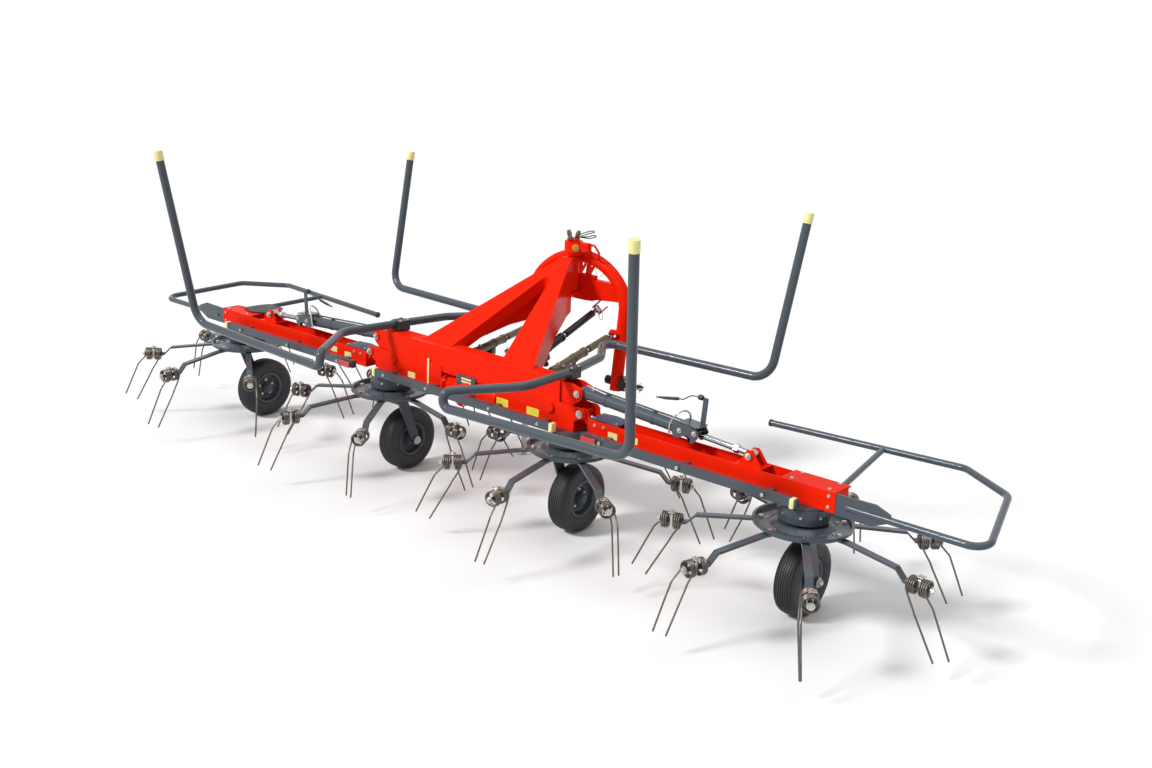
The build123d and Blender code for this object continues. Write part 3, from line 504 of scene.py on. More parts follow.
class TEDDER_OT_springs(TedderPiece, bpy.types.Operator):
    """Wind the double-coil spring tines and clamp them to their stubs"""
    bl_idname = "tedder.springs"
    bl_label = "Spring Tines"

    def tine(self, sign, prong):
        """Half a tine, from the middle of its bridge to its tip: a quarter turn of the bridge, a helix whose
        reach along the arm grows evenly with its turn about the stub, then a bent prong. Returns the points
        and, for each, the way that its wire's first side faces."""
        radius = self.sizes.wire
        ring = COIL_OUTER - radius
        last = math.radians(197.0)
        turn = np.linspace(last - 2 * np.pi * self.sizes.turns, last, int(self.sizes.turns * 18) + 1)
        share = (turn - turn[0]) / (turn[-1] - turn[0])
        inner, outer = COIL_OFFSET - COIL_HALF + radius, COIL_OFFSET + COIL_HALF - radius
        reach = COIL_MID + sign * (inner + (outer - inner) * share)
        coil = np.column_stack((reach, ring * np.cos(turn), STUB_Z + ring * np.sin(turn)))
        facing = np.column_stack((np.zeros(len(turn)), np.cos(turn), np.sin(turn)))
        bend = np.linspace(np.pi / 2, 0, 6, endpoint=False)
        bridge = np.column_stack((COIL_MID + sign * inner * np.cos(bend), coil[0, 1] + inner * np.sin(bend),
                                  np.full(len(bend), coil[0, 2])))
        leg = eased(np.concatenate((coil[-1:], prong)), 5)[1:]
        path = np.concatenate((bridge, coil, leg))
        side = np.concatenate((np.tile(facing[:1], (len(bridge), 1)), facing,
                               np.tile(facing[-1:], (len(leg), 1))))
        return path, side

    def execute(self, context):
        far = ((0.641, -0.0338, -0.0975), (0.661, -0.0349, -0.1195), (0.669, -0.0348, -0.13),
               (0.6745, -0.0342, -0.1425), (0.704, -0.0303, -0.207), (0.7565, -0.022, -0.324))
        near = ((0.553, -0.0345, -0.112), (0.5765, -0.0368, -0.15), (0.585, -0.0368, -0.166),
                (0.593, -0.0358, -0.183), (0.63, -0.0297, -0.2515), (0.689, -0.02, -0.362))
        out_path, out_side = self.tine(1, far)
        in_path, in_side = self.tine(-1, near)
        path = np.concatenate((in_path[:0:-1], out_path))
        side = np.concatenate((in_side[:0:-1], out_side))
        spring = wire(path, side, self.sizes.wire, 8)
        top = STUB_Z + COIL_OUTER
        saddle = placed(plate(rounded(0.026, 0.064, 0.007), 0.016, 0.0015), (0.572, 0, STUB_Z + 0.002),
                        RIGHT, (0, 1, 0))
        strap = placed(plate(rounded(0.03, 0.034, 0.004), 0.004), (COIL_MID, 0.006, top), UP)
        head = placed(bolt(0.009), (COIL_MID, 0.002, top + 0.004), UP)
        stub_nut = placed(washer_nut(0.012), (0.632, 0, STUB_Z), RIGHT)
        for rotor in ROTORS:
            add_piece(f"spring_tines_{rotor}", f"rotor_{rotor}", "spring_steel",
                      [on_rotor(spring, rotor)], replaces=(f"tines_{rotor}",), crease=60)
            add_piece(f"tine_clamps_{rotor}", f"rotor_{rotor}", "pin_steel",
                      [on_rotor(part, rotor) for part in (saddle, strap, head, stub_nut)])
        return {"FINISHED"}


class TEDDER_OT_wheels(TedderPiece, bpy.types.Operator):
    """Turn the ribbed tyres, dished rims, hub caps, wheel bolts and valves"""
    bl_idname = "tedder.wheels"
    bl_label = "Wheels"

    def tyre_loop(self):
        """Closed section of a tyre: a smooth curve from bead over crown to bead, into which grooves are cut
        as the raised part of a cosine across the tread, with two thin rings proud of each side wall."""
        half = ((0.0389, 0.0905), (0.0389, 0.1), (0.0497, 0.111), (0.054, 0.1406), (0.0506, 0.162),
                (0.04, 0.1732), (0.022, 0.1778), (0.0, 0.178))
        points = np.array([(w, 0, r) for w, r in half] + [(-w, 0, r) for w, r in half[-2::-1]])
        fine = eased(points, 24)[:, (0, 2)]
        step = np.linalg.norm(np.diff(fine, axis=0), axis=1)
        length = np.concatenate(([0], np.cumsum(step)))
        tread = np.clip((fine[:, 1] - 0.16) / 0.008, 0, 1)
        density = np.concatenate(([0], np.cumsum(step * (1 + 2.2 * tread[1:]))))
        even = np.interp(np.linspace(0, density[-1], 118), density, length)
        w, r = np.interp(even, length, fine[:, 0]), np.interp(even, length, fine[:, 1])
        pitch = 0.092 / self.sizes.ribs
        cut = np.clip((np.cos(2 * np.pi * (w / pitch + 0.5)) - 0.3) / 0.35, 0, 1)
        r = r - self.sizes.groove * cut * np.clip((r - 0.16) / 0.006, 0, 1)
        for ring, rise in ((0.124, 0.0009), (0.15, 0.0011)):
            w = w + np.sign(w) * rise * np.exp(-((r - ring) / 0.0016) ** 2)
        return np.column_stack((np.clip(w, -TYRE_HALF, TYRE_HALF), np.minimum(r, TYRE_R)))

    def execute(self, context):
        tyre = ring_form(self.tyre_loop(), 72)
        rim_loop = np.array((
            (38.6, 89.8), (39.6, 98.5), (41.5, 100.2), (43.6, 99.6), (44.2, 96), (42.6, 90), (41.6, 84),
            (38, 81.6), (22, 80.4), (14, 78.5), (8, 74), (4, 66), (3, 58), (5.5, 53), (9, 50), (10.5, 45),
            (12, 39), (15, 34.5), (22, 33), (38.6, 32), (40, 30.5), (40, 16.6), (-40, 16.6), (-40, 30.5),
            (-38.6, 32), (-14, 33), (-8, 34.5), (-4, 39), (-2, 45), (-0.5, 50), (-2, 55), (-4, 60),
            (-2, 68), (-6, 78), (-16, 81), (-38, 81.6), (-41.6, 84), (-42.6, 90), (-44.2, 96),
            (-43.6, 99.6), (-41.5, 100.2), (-39.6, 98.5), (-38.6, 89.8))) / 1000
        rim = ring_form(rim_loop, 60)
        cap = lathe(((0, 0.0255), (0.0015, 0.0262), (0.006, 0.0255), (0.01, 0.0225), (0.0125, 0.016),
                     (0.0135, 0.008)), 28)
        for rotor, (x, _, _) in ROTORS.items():
            centre = np.array((x - math.copysign(WHEEL_IN, x), WHEEL_Y, TYRE_R))
            face = -LEG_SIDE[rotor]
            axis = (face, 0, 0)
            body = f"wheel_{rotor}"
            add_piece(f"ribbed_tyre_{rotor}", body, "tyre_black",
                      [placed(tyre, centre, axis)], replaces=(f"tyre_{rotor}",), crease=50)
            add_piece(f"dished_rim_{rotor}", body, "paint_grey",
                      [placed(rim, centre, axis), placed(cap, centre + (face * 0.04, 0, 0), axis)],
                      replaces=(f"rim_{rotor}",))
            turn = 2 * np.pi * np.arange(5) / 5 + 0.3
            ring = centre + np.column_stack((np.full(5, face * 0.0095), 0.0475 * np.cos(turn),
                                             0.0475 * np.sin(turn)))
            stem = wire(centre + np.array(((face * 0.004, 0, 0.066), (face * 0.016, 0, 0.067),
                                           (face * 0.03, 0, 0.069))), (0, 1, 0), (0.0042, 0.0036, 0.0034))
            add_piece(f"wheel_bolts_{rotor}", body, "pin_steel",
                      [placed(bolt(0.0085), ring, axis), stem])
            # nut and washer on the far end of the axle, outside the wheel leg
            end = centre + (-face * 0.081, 0, 0)
            add_piece(f"axle_nut_{rotor}", CARRIER[rotor], "pin_steel",
                      [placed(washer_nut(0.0165), end, (-face, 0, 0))])
        return {"FINISHED"}


class TEDDER_OT_bolts(TedderPiece, bpy.types.Operator):
    """Set the bolts and nuts of discs, gearboxes, beams, rails and pins"""
    bl_idname = "tedder.bolts"
    bl_label = "Bolts"

    def execute(self, context):
        on_frame, on_wing = [], {"left": [], "right": []}
        for rotor, (x, _, _) in ROTORS.items():
            add_piece(f"arm_bolts_{rotor}", f"rotor_{rotor}", "pin_steel",
                      [on_rotor(placed(bolt(size), (reach, 0, DISC_TOP - HUB_Z), UP), rotor)
                       for size, reach in ((0.0125, 0.184), (0.006, 0.156))])
            turn = 2 * np.pi * (np.arange(8) + 0.5) / 8
            out = np.column_stack((np.cos(turn), np.sin(turn), np.zeros(8)))
            skirt = placed(bolt(0.006), (x, 0, 0.535) + 0.1115 * out, out)
            home = on_frame if CARRIER[rotor] == "frame" else on_wing[CARRIER[rotor][5:]]
            home.append(skirt)
        # rear cover and filler plug of the central gearbox, and its flanges
        turn = 2 * np.pi * np.arange(6) / 6
        ring = np.column_stack((0.047 * np.cos(turn), np.full(6, -0.112), 0.612 + 0.047 * np.sin(turn)))
        on_frame.append(placed(bolt(0.0065), ring, BACK))
        on_frame.append(placed(bolt(0.011), (0.0, -0.112, 0.612), BACK))
        for _, s in SIDES:
            ring = np.column_stack((np.full(6, s * 0.184), 0.061 * np.cos(turn + 0.5),
                                    0.612 + 0.061 * np.sin(turn + 0.5)))
            on_frame.append(placed(bolt(0.006), ring, (-s, 0, 0)))
            # both ends of the fold cylinder's clevis pin and of the wing's fold pin
            on_frame += [placed(washer_nut(size), (s * x, end * reach, z), (0, end, 0))
                         for size, (x, z), reach in ((0.0125, FOLD_BASE, 0.052), (0.0135, FOLD_PIN, 0.068))
                         for end in (-1, 1)]
            # guard clamps
            clamp = [(s * x, y, 0.876) for x in (0.589, 0.641) for y in (0.004, 0.056)]
            on_frame.append(placed(bolt(0.007), clamp, UP))
        rail = [(x, -0.143, 0.604) for x in (-0.56, -0.23, 0.23, 0.56)]
        on_frame.append(placed(bolt(0.0085), rail, BACK))
        add_piece("frame_bolts", "frame", "pin_steel", on_frame)
        for name, s in SIDES:
            found = on_wing[name]
            for size, way, spots in (
                (0.0085, UP, [(x, y, BEAM_TOP) for x in (1.925, 2.108) for y in (-0.036, 0.05)]),
                (0.0065, UP, [(x, y, z) for x, z in ((0.832, 0.679), (0.968, 0.6785))
                              for y in (-0.04, 0.04)]),
                (0.0075, BACK, [(x, -BEAM_HALF, z) for x, z in (
                    (2.118, 0.652), (2.118, 0.602), (0.85, 0.65), (0.905, 0.65))]),
                (0.0065, BACK, [(x, -0.044, z) for x, z in (
                    (2.185, 0.653), (2.235, 0.655), (2.285, 0.653), (2.335, 0.648), (2.19, 0.592),
                    (2.3, 0.594))]),
                (0.0085, BACK, [(x, -0.143, 0.604) for x in (0.95, 1.4, 1.85)]),
                (0.0065, BACK, [(2.1, 0.055, z) for z in (0.615, 0.655)]),
            ):
                found.append(placed(bolt(size), np.multiply(spots, (s, 1, 1)), way))
            found += [placed(washer_nut(0.0115), (s * FOLD_EYE[0], end * 0.04, FOLD_EYE[1]), (0, end, 0))
                      for end in (-1, 1)]
            add_piece(f"wing_bolts_{name}", f"wing_{name}", "pin_steel", found)
        return {"FINISHED"}


class TEDDER_OT_caps(TedderPiece, bpy.types.Operator):
    """Push the end caps on rails and tubes"""
    bl_idname = "tedder.caps"
    bl_label = "End Caps"

    def execute(self, context):
        block = plate(rounded(0.046, 0.036, 0.005), 0.02, 0.0025)
        add_piece("rail_caps_centre", "frame", "cap_yellow",
                  [placed(block, (s * 0.634, -0.128, 0.604), (s, 0, 0), UP) for _, s in SIDES])
        plug = lathe(((0, 0.0145), (0.001, 0.0178), (0.01, 0.0182), (0.0125, 0.0165), (0.0132, 0.01)), 24)
        for name, s in SIDES:
            add_piece(f"rail_caps_{name}", f"wing_{name}", "cap_yellow",
                      [placed(block, (s * 1.984, -0.128, 0.604), (s, 0, 0), UP)])
            add_piece(f"hoop_plug_{name}", f"wing_{name}", "black_plastic",
                      [placed(plug, (s * 1.442, 0.583, 0.664), (-s * 0.9975, -0.0662, -0.0114))])
        sleeve = ring_form(((-0.03, 0.0218), (-0.03, 0.0235), (-0.028, 0.0242), (0.014, 0.0241),
                            (0.0195, 0.0228), (0.0215, 0.0212), (0.0218, 0.019), (0.01, 0.019),
                            (0.01, 0.0218)), 28)
        posts = (((1.4, 0.82, 1.641), (0.042, 0.21, 0.977)),
                 ((1.592, -0.8, 1.717), (0.081, -0.158, 0.984)))
        add_piece("post_cap_sleeves", "frame", "cap_yellow",
                  [placed(sleeve, np.multiply(end, (s, 1, 1)), np.multiply(way, (s, 1, 1)))
                   for _, s in SIDES for end, way in posts])
        return {"FINISHED"}


class TEDDER_OT_plates(TedderPiece, bpy.types.Operator):
    """Fix the blank plates and the reflectors"""
    bl_idname = "tedder.plates"
    bl_label = "Plates and Reflectors"

    def execute(self, context):
        film = plate(rounded(0.082, 0.04, 0.006), 0.001, 0.0003)
        strip = plate(rounded(0.012, 0.15, 0.004), 0.0055)
        small = plate(rounded(0.056, 0.032, 0.005), 0.001, 0.0003)
        line = plate(rounded(0.07, 0.01, 0.002), 0.001, 0.0003)
        cover = plate(rounded(0.138, 0.056, 0.006), 0.01)
        lens = plate(rounded(0.09, 0.034, 0.006), 0.007, 0.0015)
        sheets = [
            ("blank_plates_carrier", "frame", "plate_yellow", "cap_yellow",
             ((film, (0.246, -0.06, 0.624)), (film, (0.454, -0.06, 0.624)))),
            ("blank_strip_left", "frame", "cap_yellow", None,
             ((strip, (-0.295, -0.06, 0.666)), (small, (-0.428, -0.06, 0.62)),
              (line, (-0.01, -0.064, 0.688)), (line, (-0.01, -0.064, 0.672)))),
            ("gearbox_cover_plate", "frame", "paint_grey", None, ((cover, (-0.014, -0.054, 0.676)),)),
        ]
        for name, s in SIDES:
            sheets += [
                (f"blank_plates_{name}", f"wing_{name}", "cap_yellow", None,
                 ((small, (s * 0.96, -BEAM_HALF, 0.622)), (small, (s * 1.082, -BEAM_HALF, 0.631)))),
                (f"red_reflectors_{name}", f"wing_{name}", "reflector_red", "paint_red",
                 ((lens, (s * 0.884, -0.143, 0.602)),)),
            ]
        for name, body, finish, slot, set_of in sheets:
            add_piece(name, body, finish, [placed(sheet, spot, BACK, RIGHT) for sheet, spot in set_of])
        disc = lathe(((0, 0.021), (0.004, 0.022), (0.007, 0.021), (0.009, 0.017), (0.0098, 0.009)), 28)
        out = np.array((0.8, -0.6, 0.0))
        add_piece("amber_reflector", "headstock", "reflector_amber",
                  [placed(disc, np.array((0, SWIVEL_Y, 1.297)) + out * 0.047, out)])
        return {"FINISHED"}


class TEDDER_OT_shaded_plate(TedderPiece, bpy.types.Operator):
    """Lay a black plate over the left wing's end and its hoop stay, its black being painted shade on the
    plate there
    """
    bl_idname = "tedder.mat"
    bl_label = "Shaded Plate"

    def execute(self, context):
        corners = np.array(((-1.955, 0.004), (-1.828, 0.064), (-1.857, 0.172), (-1.927, 0.234),
                            (-2.067, 0.242), (-2.051, 0.031)))
        share = np.linspace(0, 1, 4, endpoint=False)[:, None]
        edge = (corners[:, None] + (np.roll(corners, -1, 0) - corners)[:, None] * share).reshape(-1, 2)
        points, faces = plate(edge, 0.006, 0.0015)
        points[:, 2] += 0.6755 - 0.35 * np.maximum(points[:, 1] - 0.06, 0) ** 2
        # the tyre-black finish here is painted shade on this plate, not a rubber mat
        add_piece("shaded_plate_left", "wing_left", "tyre_black", [(points, faces)])
        return {"FINISHED"}


class TEDDER_OT_fold_trim(TedderPiece, bpy.types.Operator):
    """Fit the locks, pipes and bands of the fold cylinders"""
    bl_idname = "tedder.fold_trim"
    bl_label = "Fold Cylinder Trim"

    def execute(self, context):
        base = np.array((FOLD_BASE[0], 0, FOLD_BASE[1]))
        along = unit((FOLD_EYE[0] - FOLD_BASE[0], 0, FOLD_EYE[1] - FOLD_BASE[1]))
        above = np.array((-along[2], 0, along[0]))

        def at(t, v, y=0.0):
            return base + along * t + above * v + np.array((0, y, 0))

        def bar(stops, radius, across=(0, 1, 0), steps=5):
            return wire(eased([at(*stop) for stop in stops], steps), across, radius)

        band = lathe(((-0.008, 0.026), (-0.0075, 0.0312), (0.0075, 0.0312), (0.008, 0.026)), 28)
        lug = plate(rounded(0.016, 0.014, 0.003), 0.016)
        grey = [placed(band, at(t, 0), along) for t in (0.15, 0.43)]
        grey += [placed(lug, at(t, 0.032, -0.008), (0, 1, 0), along) for t in (0.15, 0.43)]
        # pipe along the barrel, and its feed
        grey.append(bar(((0.06, 0.026), (0.062, 0.04), (0.09, 0.039), (0.15, 0.038), (0.43, 0.038),
                         (0.56, 0.039), (0.59, 0.038), (0.6, 0.026)), 0.0048))
        bright = [placed(washer_nut(0.0085), at(t, 0.027), above) for t in (0.06, 0.6)]
        bright.append(bar(((0.03, 0.046, -0.016), (0.08, 0.043, -0.018), (0.15, 0.034, -0.014)), 0.0032))
        # hooked side plates, their cross pins, the deck over them and the upright stay
        hook = np.array(((-0.08, 0.02), (-0.055, 0.036), (0, 0.04), (0.06, 0.034), (0.076, 0.012),
                         (0.068, -0.008), (0.05, -0.034), (0.036, -0.036), (0.032, -0.014), (0, -0.01),
                         (-0.03, -0.03), (-0.056, -0.036), (-0.074, -0.01)))
        grey += [placed(plate(hook, 0.006), at(0.64, 0, y), BACK, along) for y in (-0.0415, 0.0355)]
        grey.append(placed(plate(rounded(0.11, 0.082, 0.008), 0.005), at(0.65, 0.0385), above, along))
        grey.append(placed(plate(rounded(0.026, 0.13, 0.006), 0.006), at(0.69, 0.108, 0.02), BACK, along))
        grey.append(wire([at(0.69, 0.014, -0.044), at(0.69, 0.014, 0.04)], RIGHT, 0.007))
        bright += [placed(washer_nut(0.009), at(t, v, y), (0, way, 0))
                   for t, v in ((0.61, 0.006), (0.69, 0.014)) for y, way in ((-0.0475, -1), (0.0355, 1))]
        bright.append(bar(((0.556, -0.02, -0.048), (0.56, 0.03, -0.052), (0.585, 0.078, -0.04),
                           (0.604, 0.092, -0.01), (0.61, 0.07, 0.026), (0.606, 0.036, 0.04)),
                          0.0048, (1, 0, 0.2), 6))
        # knob, cord and lever that lift the hooks
        knob = lathe(((0, 0.006), (0.003, 0.012), (0.014, 0.0135), (0.024, 0.011), (0.027, 0.005)), 20)
        black = [
            placed(knob, at(0.676, 0.168, 0.016), -along),
            bar(((0.65, 0.166, 0.016), (0.61, 0.16, 0.016), (0.57, 0.132, 0.014), (0.535, 0.128, 0.01),
                 (0.47, 0.112, 0.004)), 0.0028),
            wire([at(0.43, 0.104, 0.002), at(0.48, 0.113, 0.005), at(0.545, 0.128, 0.01),
                  at(0.552, 0.129, 0.011)], (0, 1, 0), (0.003, 0.0075, 0.008, 0.003)),
        ]
        # jam nut on the rod, before the eye
        nut = placed(lathe(((0, 0.02), (0.001, 0.022), (0.022, 0.022), (0.0235, 0.019)), 12, HEX),
                     at(0.885, 0), along)
        for name, s in SIDES:
            for label, finish, shells in (("lock", "paint_grey", grey), ("fittings", "pin_steel", bright),
                                          ("pull", "black_plastic", black)):
                add_piece(f"fold_{label}_{name}", f"fold_barrel_{name}", finish,
                          [mirror_x(part, s) for part in shells])
            add_piece(f"rod_nut_{name}", f"fold_rod_{name}", "pin_steel", [mirror_x(nut, s)])
        return {"FINISHED"}


class TEDDER_OT_damper_trim(TedderPiece, bpy.types.Operator):
    """Fit collars, dust sleeves and valve blocks on the dampers"""
    bl_idname = "tedder.damper_trim"
    bl_label = "Damper Trim"

    def execute(self, context):
        collar = lathe(((-0.011, 0.021), (-0.01, 0.0255), (0.01, 0.0255), (0.011, 0.021)), 28)
        block = plate(rounded(0.05, 0.04, 0.006), 0.036, 0.002)
        knob = lathe(((0, 0.011), (0.016, 0.011), (0.018, 0.015), (0.034, 0.0155), (0.037, 0.012),
                      (0.038, 0.004)), 20)
        for name, (low, high) in DAMPERS.items():
            low, high = np.array(low), np.array(high)
            along = unit(high - low)
            span = np.linalg.norm(high - low)
            down = unit(np.array((0, 0, -1.0)) + along * along[2])
            gland = 0.58 * span
            rings = [placed(collar, low + along * t, along) for t in (0.066, 0.7 * gland, gland - 0.012)]
            finish = "black_enamel" if name == "centre" else "olive"
            add_piece(f"damper_collars_{name}", f"damper_barrel_{name}", finish, rings)
            # dust sleeve on the rod, short of the barrel's mouth by more than the stroke
            start, stop = gland + (0.024 if name == "centre" else 0.04), span - 0.046
            sleeve = lathe(((start, 0.0145), (start + 0.001, 0.0195), (stop - 0.001, 0.0195),
                            (stop, 0.0145)), 24)
            add_piece(f"dust_sleeve_{name}", f"damper_rod_{name}", finish, [placed(sleeve, low, along)])
            valve = low + along * (0.62 * gland)
            add_piece(f"damper_valve_{name}", f"damper_barrel_{name}", "black_plastic", [
                placed(block, valve + down * 0.018, down, along), placed(knob, valve + down * 0.052, down)])
            union = placed(washer_nut(0.0075), low + along * 0.3 * gland - down * 0.0225, -down)
            add_piece(f"damper_union_{name}", f"damper_barrel_{name}", "pin_steel", [union])
        return {"FINISHED"}


class TEDDER_OT_headstock_trim(TedderPiece, bpy.types.Operator):
    """Fit the hose couplings, ring pins and link washers of the headstock"""
    bl_idname = "tedder.headstock_trim"
    bl_label = "Headstock Trim"

    def execute(self, context):
        top = np.array((0, SWIVEL_Y, 1.342))
        coupling = lathe(((0, 0.008), (0.002, 0.0115), (0.016, 0.0115), (0.018, 0.0135), (0.034, 0.0135),
                          (0.036, 0.011), (0.046, 0.0105), (0.047, 0.004)), 20)
        spots = top + np.array(((-0.022, -0.004, -0.002), (0.008, 0.012, -0.002)))
        silver = [placed(coupling, spots[:1], (-0.25, -0.1, 1)), placed(coupling, spots[1:], (0.25, 0.2, 1))]
        silver.append(placed(washer_nut(0.014), (0, SWIVEL_Y - 0.03, 1.342), UP))
        loops = []
        for rise, shift in ((0.04, 0.0), (0.014, 0.016)):
            path = top + (0, shift, 0) + np.array((
                (0.014, 0.004, 0.004), (0.034, 0.01, 0.6 * rise), (0.066, 0.022, rise),
                (0.1, 0.04, rise + 0.01), (0.104, 0.046, rise + 0.002), (0.07, 0.034, rise - 0.01),
                (0.03, 0.02, 0.3 * rise)))
            loops.append(wire(eased(path, 5), (0, 0.3, 1), 0.003))
        add_piece("coupling_bodies", "headstock", "spring_steel", silver)
        add_piece("coupling_loops", "headstock", "black_plastic", loops)
        turn = np.linspace(0, 2 * np.pi, 29)[:, None]
        rings = []
        for spot, axis, across, size in (
            ((0.118, 0.838, 1.166), (0.2, 1, 0), RIGHT, 0.03),
            ((0.19, 0.775, 0.938), (0.5, 1, 0), (1, -0.5, 0), 0.026),
        ):
            path = np.array(spot) + size * (np.cos(turn) * unit(across) - np.sin(turn) * UP)
            rings.append(wire(path, axis, 0.0019, 6))
        for _, s in SIDES:
            # linch pin through the end of each lower link pin
            end = np.array((s * 0.494, 0.766, 0.59))
            path = end + 0.021 * (np.cos(turn) * (s, 0, 0) + np.sin(turn) * (0, 1, 0))
            rings.append(wire(path, UP, 0.0021, 6))
            rings.append(wire([end + (0, 0, -0.024), end + (0, 0, 0.026)], RIGHT, 0.0045))
        add_piece("ring_pins", "headstock", "pin_steel", rings)
        add_piece("link_bracket_bolts", "headstock", "pin_steel",
                  [placed(bolt(0.0065), (s * 0.4085, y, z), (s, 0, 0))
                   for _, s in SIDES for y in (0.742, 0.79) for z in (0.568, 0.612)])
        return {"FINISHED"}


class TEDDER_OT_welds(TedderPiece, bpy.types.Operator):
    """Lay weld beads along the joints of beams, struts and lugs"""
    bl_idname = "tedder.welds"
    bl_label = "Weld Beads"

    def bead(self, corners):
        """Rippled bar along straight runs: its radius swells and shrinks by a seventh every 7 mm."""
        corners = np.asarray(corners, float)
        run = np.linalg.norm(np.diff(corners, axis=0), axis=1)
        stops = np.concatenate(([0], np.cumsum(run)))
        steps = max(3, int(stops[-1] / 0.0024))
        way = np.linspace(0, stops[-1], steps)
        path = np.column_stack([np.interp(way, stops, corners[:, k]) for k in range(3)])
        radius = self.sizes.weld * (1 + np.sin(2 * np.pi * way / 0.0072) / 7)
        return wire(path, (0.31, 0.42, 0.85), radius, 6)

    def execute(self, context):
        foot_in, foot_out, toe = 0.186, 0.404, -0.012
        joints = []
        for _, s in SIDES:
            joints.append([(s * foot_in, toe, MAIN_TOP), (s * foot_out, toe, MAIN_TOP)])
            joints += [[(s * (foot - slope * (y + 0.02)), y, MAIN_TOP) for y in (toe, BEAM_HALF)]
                       for foot, slope in ((foot_out, 0.525), (foot_in, 0.293))]
            joints += [[(s * near, y, z), (s * far, y, z)] for near, far, z, half in (
                (0.56, 0.618, MAIN_TOP, 0.034), (0.205, 0.612, MAIN_BASE + 0.03, 0.055))
                for y in (-half, half)]
        add_piece("weld_beads_frame", "frame", "paint_red", [self.bead(run) for run in joints], crease=80)
        for name, s in SIDES:
            joints = [[(s * x, y, BEAM_TOP) for x in (1.652, 1.766)] for y in (-0.032, -0.02, 0.02, 0.032)]
            joints.append([(s * 2.146, y, BEAM_TOP - 0.001) for y in (-0.054, 0.054)])
            add_piece(f"weld_beads_{name}", f"wing_{name}", "paint_red", [self.bead(run) for run in joints],
                      crease=80)
        return {"FINISHED"}


# Stage, lights and camera
CAMERA_PLACE = (4.48, -4.597, 2.575)
CAMERA_TURN = (39.61, -16.52, 2.58)     # heading, pitch and roll, degrees
CAMERA_LENS, CAMERA_SENSOR = 40.0, 36.0


def seen_rays(tree):
    """One for rays that show the floor or the backdrop: to the camera, in gloss and through glass."""
    path = add_node(tree, "LightPath").outputs
    seen = add_node(tree, "Math", {0: path["Is Camera Ray"], 1: path["Is Glossy Ray"]},
                    operation="MAXIMUM")
    return add_node(tree, "Math", {0: seen.outputs[0], 1: path["Is Transmission Ray"]},
                    operation="MAXIMUM").outputs[0]


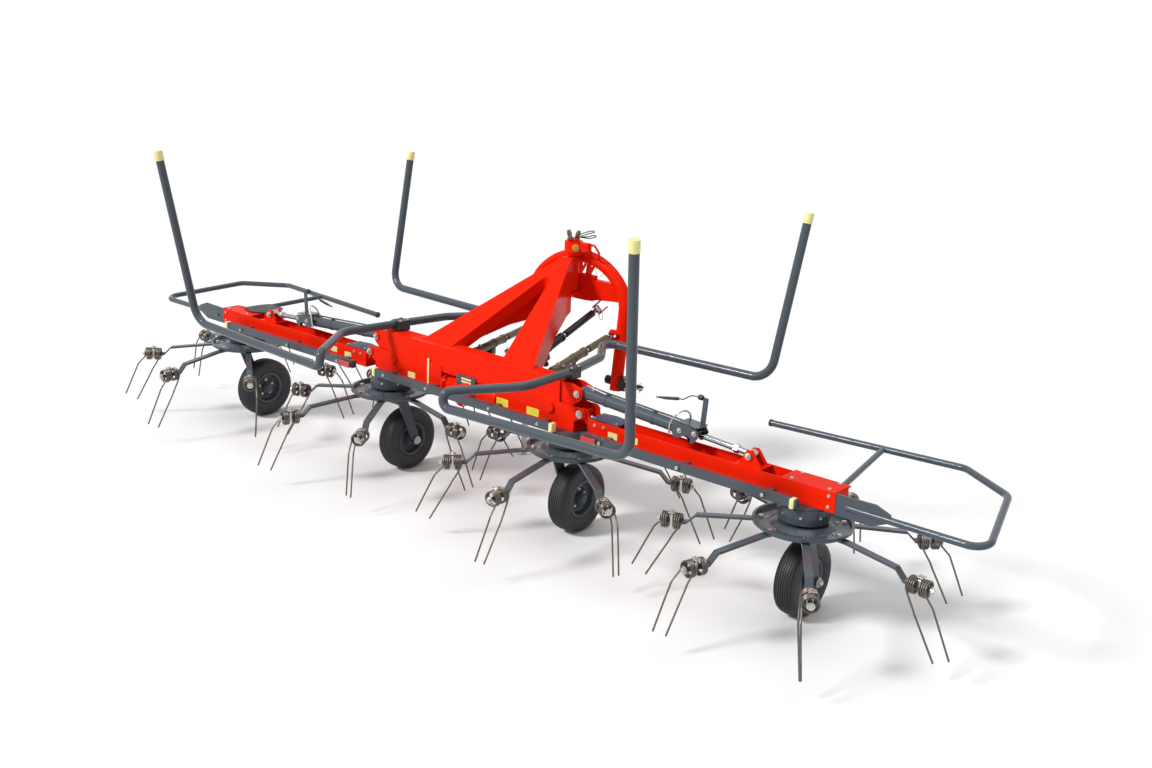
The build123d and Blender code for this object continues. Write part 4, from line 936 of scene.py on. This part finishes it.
class TEDDER_OT_stage(TedderPiece, bpy.types.Operator):
    """Lay the white floor, light it softly and set the camera"""
    bl_idname = "tedder.stage"
    bl_label = "Stage"

    def floor(self, scene):
        half = 40.0
        mesh = bpy.data.meshes.new("floor")
        mesh.from_pydata([(-half, -half, 0), (half, -half, 0), (half, half, 0), (-half, half, 0)], [],
                         [(0, 1, 2, 3)])
        floor = bpy.data.objects.new("floor", mesh)
        scene.collection.objects.link(floor)
        material, tree, _ = new_material("white_studio_floor")
        diffuse = add_node(tree, "BsdfDiffuse", {"Color": (0.9, 0.9, 0.9, 1)})
        glow = add_node(tree, "Emission", {"Color": (1, 1, 1, 1), "Strength": 0.03})
        both = add_node(tree, "AddShader", {0: diffuse.outputs[0], 1: glow.outputs[0]})
        mix = add_node(tree, "MixShader", {
            0: seen_rays(tree), 1: diffuse.outputs[0], 2: both.outputs[0]})
        add_node(tree, "OutputMaterial", {"Surface": mix.outputs[0]})
        mesh.materials.append(material)

    def world(self, scene):
        world = bpy.data.worlds.new("soft_white_studio")
        scene.world = world
        world.use_nodes = True
        tree = world.node_tree
        tree.nodes.clear()
        light = add_node(tree, "Background", {"Color": (1, 1, 1, 1), "Strength": 0.24})
        backdrop = add_node(tree, "Background", {"Color": (1, 1, 1, 1), "Strength": 1.0})
        mix = add_node(tree, "MixShader", {
            0: seen_rays(tree), 1: light.outputs[0], 2: backdrop.outputs[0]})
        add_node(tree, "OutputWorld", {"Surface": mix.outputs[0]})

    def execute(self, context):
        scene = context.scene
        scene.view_settings.view_transform = "Standard"
        self.floor(scene)
        self.world(scene)
        for name, towards, strength, spread in (("key", (-0.5, -1.00, 0.9), 2.7, 12.0),
                                                ("top", (0.1, 0.15, 1.2), 1.15, 55.0)):
            lamp = bpy.data.lights.new(name, "SUN")
            lamp.energy, lamp.angle = strength, math.radians(spread)
            obj = bpy.data.objects.new(name, lamp)
            obj.rotation_euler = Vector(towards).to_track_quat("Z", "Y").to_euler()
            scene.collection.objects.link(obj)
        camera = bpy.data.cameras.new("camera")
        camera.lens, camera.sensor_width, camera.clip_end = CAMERA_LENS, CAMERA_SENSOR, 200.0
        obj = bpy.data.objects.new("camera", camera)
        heading, pitch, roll = (math.radians(a) for a in CAMERA_TURN)
        obj.matrix_world = (Matrix.Translation(np.add(CAMERA_PLACE, ROTOR_LINE))
                            @ Matrix.Rotation(heading, 4, "Z") @ Matrix.Rotation(math.pi / 2 + pitch, 4, "X")
                            @ Matrix.Rotation(roll, 4, "Z"))
        scene.collection.objects.link(obj)
        scene.camera = obj
        return {"FINISHED"}


OPERATORS = (TEDDER_OT_finishes, TEDDER_OT_springs, TEDDER_OT_wheels, TEDDER_OT_bolts, TEDDER_OT_caps,
             TEDDER_OT_plates, TEDDER_OT_shaded_plate, TEDDER_OT_fold_trim, TEDDER_OT_damper_trim,
             TEDDER_OT_headstock_trim, TEDDER_OT_welds, TEDDER_OT_stage)


class TEDDER_PT_panel(bpy.types.Panel):
    """Lists the tedder's colours, sizes and pieces"""
    bl_idname = "TEDDER_PT_panel"
    bl_label = "Hay Tedder"
    bl_space_type = "VIEW_3D"
    bl_region_type = "UI"
    bl_category = "Tedder"

    def draw(self, context):
        column = self.layout.column()
        for group in (context.scene.tedder_colours, context.scene.tedder_sizes):
            for name in group.__annotations__:
                column.prop(group, name)
        for operator in OPERATORS:
            column.operator(operator.bl_idname)


CLASSES = (TedderColours, TedderSizes, *OPERATORS, TEDDER_PT_panel)


def register():
    for cls in CLASSES:
        bpy.utils.register_class(cls)
    bpy.types.Scene.tedder_colours = PointerProperty(type=TedderColours)
    bpy.types.Scene.tedder_sizes = PointerProperty(type=TedderSizes)


def unregister():
    del bpy.types.Scene.tedder_sizes
    del bpy.types.Scene.tedder_colours
    for cls in reversed(CLASSES):
        bpy.utils.unregister_class(cls)


def main():
    """Register the add-on and make every piece in order."""
    register()
    for operator in OPERATORS:
        group, name = operator.bl_idname.split(".")
        getattr(getattr(bpy.ops, group), name)()


if __name__ == "__main__":
    main()
